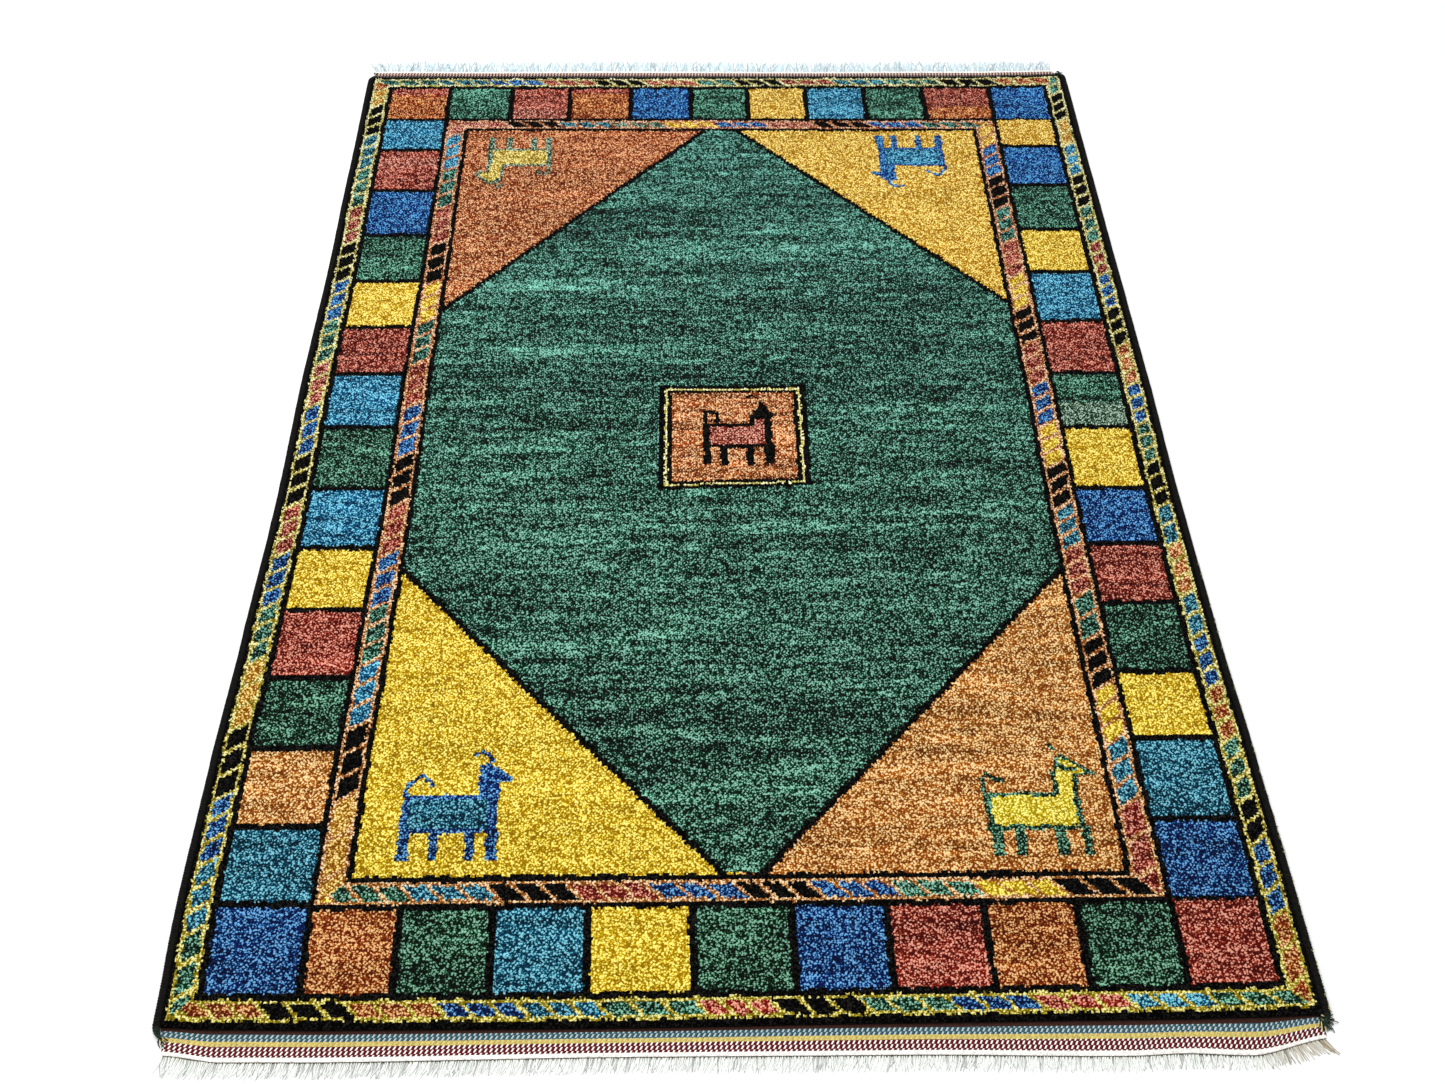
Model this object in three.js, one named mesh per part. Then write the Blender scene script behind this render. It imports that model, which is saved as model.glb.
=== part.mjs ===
// Hand-knotted wool rug lying flat on the floor, in millimetres, +Z up, +Y towards its far end.
// It is a thick pile field with a thin flat-woven strip at each end, an overcast selvedge along
// each side and a cotton fringe past each flat-woven strip.

import * as THREE from 'three';

// Thicknesses, widths and gaps
const PILE_HEIGHT = 11;
const WEAVE_HEIGHT = 2.6;
const FRINGE_HEIGHT = 1.8;
const TIP_HEIGHT = 0.9;
const FRINGE_STRIP = 3;
const GAP = 0.3;
const FRINGE_GAP = 0.6;

// Spacing of the lines that follow the rug's uneven outline
const LINE_SPACING = 75;

// Locks of each fringe, and how much of its share of the edge a lock fills at its root and its tip
const LOCKS = 145;
const ROOT_FILL = 0.66;
const TIP_FILL = 0.44;

// How unevenly the locks are cut, and how far their tips stray sideways
const TIP_UNEVENNESS = 2;
const TIP_SPREAD = 1.4;

// Both side edges of the cloth, from the near end to the far end, under the selvedges' inner faces
const SIDES = [
  { along: -900, left: -579, right: 583 },
  { along: -882, left: -589, right: 592 },
  { along: -866, left: -594, right: 594 },
  { along: -700, left: -598.5, right: 593.5 },
  { along: -540, left: -597.5, right: 592 },
  { along: -380, left: -594, right: 589 },
  { along: -140, left: -590.5, right: 588.5 },
  { along: 100, left: -593.5, right: 592 },
  { along: 340, left: -592.5, right: 593 },
  { along: 580, left: -595.5, right: 594.5 },
  { along: 866, left: -598.5, right: 596.5 },
  { along: 890, left: -600, right: 584 },
];

// The lines across the rug: where each flat-woven strip ends and where the pile starts and stops
const ENDS = [
  { across: -600, nearWeave: -889, nearPile: -859, farPile: 856, farWeave: 882, nearTip: -911, farTip: 919 },
  { across: -540, nearWeave: -897, nearPile: -862, farPile: 856, farWeave: 883, nearTip: -914, farTip: 922 },
  { across: -430, nearWeave: -898, nearPile: -864, farPile: 857, farWeave: 882, nearTip: -915, farTip: 921 },
  { across: -150, nearWeave: -896, nearPile: -865, farPile: 857, farWeave: 884, nearTip: -913, farTip: 924 },
  { across: 150, nearWeave: -897, nearPile: -863, farPile: 860, farWeave: 883, nearTip: -914, farTip: 922 },
  { across: 395, nearWeave: -901, nearPile: -862, farPile: 861, farWeave: 885, nearTip: -917, farTip: 925 },
  { across: 450, nearWeave: -899, nearPile: -862, farPile: 862, farWeave: 885, nearTip: -915, farTip: 924 },
  { across: 520, nearWeave: -902, nearPile: -861, farPile: 865, farWeave: 887, nearTip: -917, farTip: 925 },
  { across: 600, nearWeave: -884, nearPile: -859, farPile: 869, farWeave: 889, nearTip: -901, farTip: 926 },
];

// How the surface rises from an edge: distance in from the edge, and share of the full thickness
const RIM = [
  { inset: 0, rise: 0.72 },
  { inset: 2, rise: 0.92 },
  { inset: 6, rise: 1 },
];

// Half of the selvedge's round section: distance out from the cloth's edge, and height
const SELVEDGE = [
  { out: GAP, up: 0 },
  { out: 7.6, up: 0 },
  { out: 9.3, up: 2 },
  { out: 9.3, up: 5.2 },
  { out: 7.4, up: 7.8 },
  { out: 3.4, up: 8.6 },
  { out: GAP, up: 7.4 },
];

// The selvedge's ends: how far they reach past the pile and how much thicker they are there
const SELVEDGE_OVERHANG = { near: 12, far: 8 };
const SELVEDGE_END_LENGTH = 26;
const SELVEDGE_END_SWELL = 1.12;

const COLOURS = {
  pile: 0x2f6b52,
  selvedge: 0x141414,
  fringe: 0xe4e8e0,
};

// Value of a table's column at a place, blended softly between the two rows beside it
function between(table, key, column, at) {
  const last = table.length - 1;
  const above = table.findIndex((row) => row[key] > at);
  const high = above < 0 ? last : Math.max(1, above);
  const [from, to] = [table[high - 1], table[high]];
  const share = THREE.MathUtils.smoothstep(at, from[key], to[key]);
  return THREE.MathUtils.lerp(from[column], to[column], share);
}

// Distances from one edge to the other: the rim's lines at both edges, and even lines between them
function linesAcross(width) {
  const rim = RIM.map((row) => ({ distance: row.inset, rise: row.rise }));
  const inner = width - 2 * RIM.at(-1).inset;
  const count = Math.round(inner / LINE_SPACING);
  const even = Array.from({ length: count - 1 }, (_, i) => ({
    distance: RIM.at(-1).inset + (inner * (i + 1)) / count,
    rise: 1,
  }));
  const mirrored = rim.map((line) => ({ distance: width - line.distance, rise: line.rise })).reverse();
  return [...rim, ...even, ...mirrored];
}

// Lines along the rug, each between two named lines of ENDS, with its share of the way and its height
function linesAlong() {
  const weave = (from, to, flip) => {
    const lines = [
      { from, to, share: 0, offset: 0, height: WEAVE_HEIGHT * RIM[0].rise },
      { from, to, share: 0, offset: RIM[1].inset, height: WEAVE_HEIGHT },
      { from, to, share: 0.5, offset: 0, height: WEAVE_HEIGHT },
      { from, to, share: 1, offset: -GAP, height: WEAVE_HEIGHT },
    ];
    return flip ? lines.map((line) => ({ ...line, offset: -line.offset })).reverse() : lines;
  };
  const length = ENDS[0].farPile - ENDS[0].nearPile;
  const pile = linesAcross(length).map((line) => {
    const far = line.distance > length / 2;
    return {
      from: far ? 'farPile' : 'nearPile',
      to: far ? 'nearPile' : 'farPile',
      share: line.rise < 1 ? 0 : Math.min(line.distance, length - line.distance) / length,
      offset: line.rise < 1 ? (far ? line.distance - length : line.distance) : 0,
      height: PILE_HEIGHT * line.rise,
    };
  });
  return [...weave('nearWeave', 'nearPile', false), ...pile, ...weave('farWeave', 'farPile', true)];
}

// Buffer geometry from points and the corners of the triangles between them
function solid(points, corners) {
  const geometry = new THREE.BufferGeometry();
  geometry.setAttribute('position', new THREE.Float32BufferAttribute(points.flatMap((p) => p.toArray()), 3));
  geometry.setIndex(corners);
  return geometry;
}

// Closed solid between a surface of triangles and its shadow on the floor
function solidOnFloor(points, triangles) {
  const shadow = points.map((point) => new THREE.Vector3(point.x, point.y, 0));
  const below = points.length;
  const edges = new Map();
  triangles.forEach(([a, b, c]) => {
    [[a, b], [b, c], [c, a]].forEach((edge) => edges.set(edge.join(), edge));
  });
  const underside = triangles.map(([a, b, c]) => [a + below, c + below, b + below]);
  const rim = [...edges.values()].filter(([from, to]) => !edges.has([to, from].join()));
  const walls = rim.flatMap(([from, to]) => [[from + below, to + below, to], [from + below, to, from]]);
  return solid([...points, ...shadow], [triangles, underside, walls].flat(2));
}

// The cloth as one slab: two triangles in each cell of its rows
function clothGeometry(rows) {
  const columnCount = rows[0].length;
  const triangles = [];
  for (let row = 0; row < rows.length - 1; row += 1) {
    for (let column = 0; column < columnCount - 1; column += 1) {
      const near = row * columnCount + column;
      const far = near + columnCount;
      triangles.push([near, near + 1, far + 1], [near, far + 1, far]);
    }
  }
  return solidOnFloor(rows.flat(), triangles);
}

// Rows of points on the top of the cloth, from its near edge to its far edge
function clothRows() {
  const width = SIDES[0].right - SIDES[0].left;
  const columns = linesAcross(width);
  return linesAlong().map((line) => columns.map((column) => {
    const across = (column.distance / width - 0.5) * 2 * Math.abs(ENDS[0].across);
    const from = between(ENDS, 'across', line.from, across);
    const to = between(ENDS, 'across', line.to, across);
    const y = THREE.MathUtils.lerp(from, to, line.share) + line.offset;
    const left = between(SIDES, 'along', 'left', y);
    const right = between(SIDES, 'along', 'right', y);
    const x = THREE.MathUtils.lerp(left, right, column.distance / width);
    return new THREE.Vector3(x, y, line.height * column.rise);
  }));
}

// Coordinate of a line of points at a place along it, straight on past the line's ends
function follow(line, axis, coordinate, at) {
  const above = line.findIndex((point) => point[axis] > at);
  if (above < 0) return line.at(-1)[coordinate];
  if (above === 0) return line[0][coordinate];
  const [from, to] = [line[above - 1], line[above]];
  const share = (at - from[axis]) / (to[axis] - from[axis]);
  return THREE.MathUtils.lerp(from[coordinate], to[coordinate], share);
}

// One selvedge: its section carried along the cloth's side edge, thicker where it is wound off
function selvedgeGeometry(edge, direction) {
  const start = edge[0].y - SELVEDGE_OVERHANG.near;
  const end = edge.at(-1).y + SELVEDGE_OVERHANG.far;
  const bends = edge.map((point) => point.y);
  const stations = [start, start + SELVEDGE_END_LENGTH, ...bends, end - SELVEDGE_END_LENGTH, end];
  const points = stations.sort((a, b) => a - b).flatMap((y) => {
    const swell = Math.min(y - start, end - y) < SELVEDGE_END_LENGTH ? SELVEDGE_END_SWELL : 1;
    const x = follow(edge, 'y', 'x', y);
    return SELVEDGE.map(({ out, up }) => {
      const reach = GAP + (out - GAP) * swell;
      return new THREE.Vector3(x + direction * reach, y, up * swell);
    });
  });
  const ring = SELVEDGE.length;
  const index = [];
  const triangle = (a, b, c) => index.push(...(direction > 0 ? [a, b, c] : [a, c, b]));
  for (let station = 0; station < stations.length - 1; station += 1) {
    for (let i = 0; i < ring; i += 1) {
      const [a, b] = [station * ring + i, station * ring + ((i + 1) % ring)];
      triangle(a, b + ring, b);
      triangle(a, a + ring, b + ring);
    }
  }
  const lastRing = (stations.length - 1) * ring;
  for (let i = 1; i < ring - 1; i += 1) {
    triangle(0, i, i + 1);
    triangle(lastRing, lastRing + i + 1, lastRing + i);
  }
  return solid(points, index);
}

// Uneven but repeatable share from -1 to 1 for lock number i
function unevenness(i, pace) {
  return Math.sin(i * pace) * Math.cos(i * pace * 0.37 + 1);
}

// One fringe: tapering locks on a narrow strip that lies along the flat-woven edge
function fringeGeometry(edge, tipColumn, direction, leanAtLeft, leanAtRight) {
  const left = edge[0].x;
  const pitch = (edge.at(-1).x - left) / LOCKS;
  const stripY = (x) => follow(edge, 'x', 'y', x) + direction * FRINGE_GAP;
  const points = [new THREE.Vector3(left, stripY(left), FRINGE_HEIGHT)];
  const triangles = [];
  const face = (...corners) => triangles.push(direction > 0 ? corners : corners.reverse());
  for (let i = 0; i < LOCKS; i += 1) {
    const middle = left + pitch * (i + 0.5);
    const root = stripY(middle) + direction * FRINGE_STRIP;
    const tip = between(ENDS, 'across', tipColumn, middle) + TIP_UNEVENNESS * unevenness(i, 2.3);
    const lean = THREE.MathUtils.lerp(leanAtLeft, leanAtRight, i / LOCKS) * Math.abs(tip - root);
    const tipMiddle = middle + lean + TIP_SPREAD * unevenness(i, 1.1);
    const [rootHalf, tipHalf] = [(pitch * ROOT_FILL) / 2, (pitch * TIP_FILL) / 2];
    const start = points.length - 1;
    const [rootLeft, rootRight, tipLeft, tipRight, end] = [1, 2, 3, 4, 5].map((step) => start + step);
    points.push(
      new THREE.Vector3(middle - rootHalf, root, FRINGE_HEIGHT),
      new THREE.Vector3(middle + rootHalf, root, FRINGE_HEIGHT),
      new THREE.Vector3(tipMiddle - tipHalf, tip, TIP_HEIGHT),
      new THREE.Vector3(tipMiddle + tipHalf, tip, TIP_HEIGHT),
      new THREE.Vector3(left + pitch * (i + 1), stripY(left + pitch * (i + 1)), FRINGE_HEIGHT),
    );
    face(start, end, rootRight);
    face(start, rootRight, rootLeft);
    face(rootLeft, rootRight, tipRight);
    face(rootLeft, tipRight, tipLeft);
    if (i < LOCKS - 1) face(end, end + 1, rootRight);
  }
  return solidOnFloor(points, triangles);
}

// Named mesh with the finish of its yarn
function piece(name, geometry, color) {
  const material = new THREE.MeshStandardMaterial({ color, roughness: 0.9, metalness: 0 });
  const mesh = new THREE.Mesh(geometry, material);
  mesh.name = name;
  return mesh;
}

const rows = clothRows();
const pileRows = rows.filter((row) => row.some((point) => point.z > WEAVE_HEIGHT + GAP));
const [leftEdge, rightEdge] = [pileRows.map((row) => row[0]), pileRows.map((row) => row.at(-1))];

const rug = new THREE.Group();
rug.add(piece('rug_cloth', clothGeometry(rows), COLOURS.pile));
rug.add(piece('left_selvedge', selvedgeGeometry(leftEdge, -1), COLOURS.selvedge));
rug.add(piece('right_selvedge', selvedgeGeometry(rightEdge, 1), COLOURS.selvedge));
rug.add(piece('near_fringe', fringeGeometry(rows[0], 'nearTip', -1, -0.45, -0.2), COLOURS.fringe));
rug.add(piece('far_fringe', fringeGeometry(rows.at(-1), 'farTip', 1, -0.1, 0.15), COLOURS.fringe));

// The origin is in the middle of the rug's box, on the floor
const middle = new THREE.Box3().setFromObject(rug).getCenter(new THREE.Vector3());
rug.position.set(-middle.x, -middle.y, 0);

export default rug;
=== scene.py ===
"""Looks of a hand-knotted gabbeh rug that lies flat on a pale floor.

The rug is woven in one piece: a flat-woven cloth of wool on cotton warps, with a thick knotted
pile between its two flat-woven ends. Black wool is overcast along both sides, and the cut warps
make the short fringes. Every piece here is built in those terms, in the frame of the CAD model.

Sizes and the woven chart are in millimetres from the middle of the pile: across runs to the
right, along runs to the far end. Rug.place() turns them into metres in the frame of the CAD.
"""

from __future__ import annotations

import logging
import math
from dataclasses import dataclass, field
from enum import Enum, IntEnum
from typing import Any

import bpy
import numpy as np
from mathutils import Matrix, Vector

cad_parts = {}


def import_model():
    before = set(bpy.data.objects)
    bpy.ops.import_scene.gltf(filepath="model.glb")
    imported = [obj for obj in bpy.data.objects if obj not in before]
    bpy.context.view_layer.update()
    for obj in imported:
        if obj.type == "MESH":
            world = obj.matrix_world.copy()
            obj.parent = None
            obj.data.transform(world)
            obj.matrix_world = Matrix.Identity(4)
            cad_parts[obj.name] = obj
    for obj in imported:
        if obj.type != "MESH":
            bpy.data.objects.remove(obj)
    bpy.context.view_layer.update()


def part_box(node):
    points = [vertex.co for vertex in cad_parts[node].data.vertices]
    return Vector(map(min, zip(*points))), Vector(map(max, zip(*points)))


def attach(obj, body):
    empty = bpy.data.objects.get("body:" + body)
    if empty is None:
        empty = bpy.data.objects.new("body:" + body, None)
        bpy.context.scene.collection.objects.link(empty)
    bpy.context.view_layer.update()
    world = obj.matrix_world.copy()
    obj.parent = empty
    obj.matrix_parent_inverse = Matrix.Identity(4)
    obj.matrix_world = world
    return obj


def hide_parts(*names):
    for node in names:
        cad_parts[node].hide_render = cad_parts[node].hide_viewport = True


LOG = logging.getLogger("gabbeh_rug")
MM = 0.001
SEED = 4211
COLOUR_LAYER = "dyed_wool"
BAKE_SHEET = "OFBake"
WEAVE_SHEET = "weave"
MATH = "ShaderNodeMath"

# How far the bake sheet's contents stay from its sides, and what that leaves for them.
SHEET_MARGIN = 0.01
SHEET_SPAN = 1 - 2 * SHEET_MARGIN
# Millimetres from the floor to the lowest faces.
FOOT = 0.05
# Millimetres to a place past every edge of the rug.
BEYOND = 9999.0
# The least length that a direction is divided by.
TINY = 1e-6

Array = np.ndarray
Path = tuple[tuple[float, float], ...]
Frame = tuple[float, float, float, float]


# Small tools


def linear(hex_colour: str) -> tuple[float, float, float]:
    """Turns an sRGB colour into linear light.

    Args:
        hex_colour: The colour as six hexadecimal digits after a #.

    Returns:
        Red, green and blue from 0 to 1.
    """
    parts = [int(hex_colour[i : i + 2], 16) / 255 for i in (1, 3, 5)]
    return tuple(c / 12.92 if c <= 0.04045 else ((c + 0.055) / 1.055) ** 2.4 for c in parts)


def smooth(share: Array) -> Array:
    """Eases a share between 0 and 1 in and out."""
    return share * share * (3 - 2 * share)


def ease(table: tuple[tuple[float, ...], ...], column: int, at: Array) -> Array:
    """Reads a table between its rows, with a smooth passage from one row to the next.

    Args:
        table: Rows that start with the place.
        column: The column to read.
        at: The places to read it at.

    Returns:
        The value at each place.
    """
    rows = np.array(table, float)
    at = np.asarray(at, float)
    i = np.clip(np.searchsorted(rows[:, 0], at, side="right") - 1, 0, len(rows) - 2)
    share = smooth(np.clip((at - rows[i, 0]) / (rows[i + 1, 0] - rows[i, 0]), 0, 1))
    return rows[i, column] * (1 - share) + rows[i + 1, column] * share


def drift(rng: np.random.Generator, x: Array, y: Array, cell_x: float, cell_y: float) -> Array:
    """Makes smooth random values from -1 to 1 on cells of a real size.

    Args:
        rng: The seeded random source.
        x: Places across, in millimetres.
        y: Places along, in millimetres.
        cell_x: Width of a cell in millimetres.
        cell_y: Length of a cell in millimetres.

    Returns:
        One value for each place.
    """
    gx, gy = (x - x.min()) / cell_x, (y - y.min()) / cell_y
    values = rng.uniform(-1, 1, (int(gx.max()) + 3, int(gy.max()) + 3))
    i, j = gx.astype(int), gy.astype(int)
    fx, fy = smooth(gx - i), smooth(gy - j)
    near = values[i, j] * (1 - fx) + values[i + 1, j] * fx
    far = values[i, j + 1] * (1 - fx) + values[i + 1, j + 1] * fx
    return near * (1 - fy) + far * fy


def inside(points: Path, x: Array, y: Array) -> Array:
    """Tells which places lie in a polygon.

    Args:
        points: The polygon's corners in order.
        x: Places across.
        y: Places along.

    Returns:
        True for the places inside.
    """
    found = np.zeros(x.shape, bool)
    for (ax, ay), (bx, by) in zip(points, points[1:] + points[:1]):
        if ay != by:
            crossing = ax + (y - ay) * (bx - ax) / (by - ay)
            found ^= ((ay > y) != (by > y)) & (x < crossing)
    return found


def along_line(points: Path, x: Array, y: Array) -> Array:
    """Measures how far each place is from an open line.

    Args:
        points: The line's corners in order.
        x: Places across.
        y: Places along.

    Returns:
        The distance to the nearest stretch of the line.
    """
    best = np.full(x.shape, np.inf)
    for (ax, ay), (bx, by) in zip(points, points[1:]):
        length = (bx - ax) ** 2 + (by - ay) ** 2
        share = np.clip(((x - ax) * (bx - ax) + (y - ay) * (by - ay)) / length, 0, 1)
        gap = np.hypot(x - ax - share * (bx - ax), y - ay - share * (by - ay))
        best = np.minimum(best, gap)
    return best


def grid(columns: int, rows: int) -> list[Array]:
    """Numbers the columns and the rows of a grid."""
    return np.meshgrid(np.arange(columns), np.arange(rows), indexing="ij")


def grid_faces(columns: int, rows: int) -> tuple[list[tuple[Array, Array]], Array]:
    """Joins a grid of points by faces.

    Args:
        columns: Columns of faces.
        rows: Rows of faces.

    Returns:
        Column and row of each corner of each face, and the faces as point numbers.
    """
    i, j = grid(columns, rows)
    corners = [(i, j), (i + 1, j), (i + 1, j + 1), (i, j + 1)]
    return corners, np.stack([a * (rows + 1) + b for a, b in corners], -1).reshape(-1, 4)


def grid_rim(columns: int, rows: int) -> Array:
    """Numbers the points round a grid of faces, in order."""
    number = np.arange((columns + 1) * (rows + 1)).reshape(columns + 1, rows + 1)
    return np.concatenate([number[:-1, 0], number[-1, :-1], number[:0:-1, -1], number[0, :0:-1]])


def ring_faces(rings: int, sides: int) -> Array:
    """Joins rings of points, one after the other, by faces of four corners."""
    i, j = grid(rings - 1, sides)
    k = (j + 1) % sides
    corners = [(i + 1) * sides + j, (i + 1) * sides + k, i * sides + k, i * sides + j]
    return np.stack([c.ravel() for c in corners], 1)


def edge_sheet(count: int, low: float, high: float) -> Array:
    """Lays a standing edge out as one long row of the bake sheet, between two heights."""
    k = np.arange(count)
    along = np.stack([k, k + 1, k + 1, k], 1) / count * SHEET_SPAN + SHEET_MARGIN
    return np.stack([along, np.broadcast_to([low, low, high, high], along.shape)], -1)


def fan_sheet(rim: Array, centre: tuple[float, float]) -> Array:
    """Lays an underside out on the bake sheet as a fan between its rim and its centre."""
    return np.stack([np.roll(rim, -1, 0), rim, np.broadcast_to(centre, rim.shape)], 1)


def add_node(
    tree: bpy.types.NodeTree,
    kind: str,
    settings: dict[Any, Any] | None = None,
    links: dict[Any, bpy.types.NodeSocket] | None = None,
) -> bpy.types.Node:
    """Adds a node with its settings and links.

    Args:
        tree: The material's node tree.
        kind: Blender's name for the node.
        settings: Values for its properties or input sockets.
        links: Output sockets for its input sockets.

    Returns:
        The new node.
    """
    node = tree.nodes.new(kind)
    for name, value in (settings or {}).items():
        if isinstance(name, int) or name in node.inputs:
            node.inputs[name].default_value = value
        else:
            setattr(node, name, value)
    for name, output in (links or {}).items():
        tree.links.new(output, node.inputs[name])
    return node


@dataclass
class Shape:
    """Points, faces and face-corner data that grow into one mesh."""

    points: list[Array] = field(default_factory=list)
    faces: list[Array] = field(default_factory=list)
    colours: list[Array] = field(default_factory=list)
    sheets: dict[str, list[Array]] = field(default_factory=dict)
    kinds: list[Array] = field(default_factory=list)
    count: int = 0

    def add_points(self, points: Array) -> int:
        """Adds points and returns the number of the first one."""
        first = self.count
        self.points.append(points.reshape(-1, 3))
        self.count += len(self.points[-1])
        return first

    def add_faces(
        self,
        faces: Array,
        colours: Array,
        sheets: dict[str, Array] | None = None,
        kinds: Array | int = 0,
    ) -> None:
        """Adds faces with the same number of corners.

        Args:
            faces: Point numbers, one row for each face.
            colours: Linear colour of each face corner with its light, or one for all.
            sheets: Place of each face corner on each flat sheet.
            kinds: Number of each face's finish among the piece's own.
        """
        self.faces.append(faces)
        self.kinds.append(np.broadcast_to(kinds, len(faces)))
        colours = np.asarray(colours, float)
        if colours.shape[-1] == 3:
            colours = np.concatenate([colours, np.ones((*colours.shape[:-1], 1))], -1)
        self.colours.append(np.broadcast_to(colours, (*faces.shape, 4)).reshape(-1, 4))
        for name, places in (sheets or {}).items():
            self.sheets.setdefault(name, []).append(places.reshape(-1, 2))

    def add_rings(self, rings: Array, colours: Array, start: Array, end: Array) -> None:
        """Adds a closed bar through rings of points.

        Args:
            rings: The points, by ring and by place round it.
            colours: Linear colours of the side faces.
            start: Linear colour of the first end.
            end: Linear colour of the last end.
        """
        count, sides = rings.shape[:2]
        first = self.add_points(rings)
        cap = first + np.arange(sides)
        self.add_faces(first + ring_faces(count, sides), colours)
        self.add_faces(cap[None], start)
        self.add_faces((cap + (count - 1) * sides)[None, ::-1], end)

    def add_tube(self, path: Array, radii: Array, sides: int, colour: Array) -> None:
        """Adds a closed tube.

        Args:
            path: Its centre line.
            radii: Its radius at each point of the line.
            sides: How many sides it has.
            colour: Its linear colour, for all or for each ring.
        """
        ahead = np.gradient(path, axis=0)
        ahead /= np.linalg.norm(ahead, axis=1)[:, None]
        side = np.cross(ahead, (0.0, 0.0, 1.0))
        side /= np.maximum(np.linalg.norm(side, axis=1), TINY)[:, None]
        rise = np.cross(side, ahead)
        turn = np.arange(sides) * 2 * math.pi / sides
        ring = side[:, None] * np.cos(turn)[:, None] + rise[:, None] * np.sin(turn)[:, None]
        rings = path[:, None] + ring * radii[:, None, None]
        tint = np.broadcast_to(colour, (len(path), 3))
        corner_tint = tint[ring_faces(len(path), sides) // sides]
        self.add_rings(rings, corner_tint, tint[:1, None], tint[-1:, None])

    def close_below(
        self,
        rows: tuple[Array, ...],
        centre: int,
        colour: Array,
        sheets: list[dict[str, Array]],
        kind: int = 0,
    ) -> None:
        """Adds standing edges between closed rows of points, and an underside to the lowest.

        Args:
            rows: The rows' point numbers, from the top down.
            centre: Number of the point in the middle of the underside.
            colour: Linear colour of all of it.
            sheets: Places on the flat sheets, for each edge and then for the underside.
            kind: Number of the finish.
        """
        for upper, lower, places in zip(rows, rows[1:], sheets):
            faces = np.stack([lower, np.roll(lower, -1), np.roll(upper, -1), upper], 1)
            self.add_faces(faces, colour, places, kind)
        foot = rows[-1]
        faces = np.stack([np.roll(foot, -1), foot, np.full(len(foot), centre)], 1)
        self.add_faces(faces, colour, sheets[-1], kind)

    def make(self, name: str) -> bpy.types.Object:
        """Makes the mesh object.

        Args:
            name: The piece's name.

        Returns:
            The object, linked to the scene.
        """
        mesh = bpy.data.meshes.new(name)
        points = np.concatenate(self.points).astype(np.float32)
        loops = np.concatenate([f.ravel() for f in self.faces]).astype(np.int32)
        sizes = np.concatenate([np.full(len(f), f.shape[1]) for f in self.faces])
        starts = np.concatenate([[0], np.cumsum(sizes)[:-1]]).astype(np.int32)
        mesh.vertices.add(len(points))
        mesh.vertices.foreach_set("co", points.ravel())
        mesh.loops.add(len(loops))
        mesh.loops.foreach_set("vertex_index", loops)
        mesh.polygons.add(len(sizes))
        mesh.polygons.foreach_set("loop_start", starts)
        mesh.polygons.foreach_set("material_index", np.concatenate(self.kinds).astype(np.int32))
        mesh.update(calc_edges=True)
        colours = np.concatenate(self.colours).astype(np.float32)
        layer = mesh.color_attributes.new(COLOUR_LAYER, "FLOAT_COLOR", "CORNER")
        layer.data.foreach_set("color", colours.ravel())
        for sheet_name, places in self.sheets.items():
            sheet = mesh.uv_layers.new(name=sheet_name)
            sheet.data.foreach_set("uv", np.concatenate(places).astype(np.float32).ravel())
        piece = bpy.data.objects.new(name, mesh)
        bpy.context.scene.collection.objects.link(piece)
        return piece


# Finishes


@dataclass(frozen=True)
class Finish:
    """What every finish has: a name, and nodes that end in a shader."""

    name: str = "finish"

    def material(self) -> bpy.types.Material:
        """Makes the finish.

        Returns:
            The material.
        """
        material = bpy.data.materials.new(self.name)
        material.use_nodes = True
        tree = material.node_tree
        tree.nodes.clear()
        place = add_node(tree, "ShaderNodeTexCoord").outputs["Object"]
        shader = self.surface(tree, place)
        add_node(tree, "ShaderNodeOutputMaterial", None, {"Surface": shader.outputs["BSDF"]})
        return material

    def surface(self, tree: bpy.types.NodeTree, place: bpy.types.NodeSocket) -> bpy.types.Node:
        """Adds the finish's own nodes.

        Args:
            tree: The material's node tree.
            place: The place on the piece, in metres.

        Returns:
            The shader.
        """
        raise NotImplementedError


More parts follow.
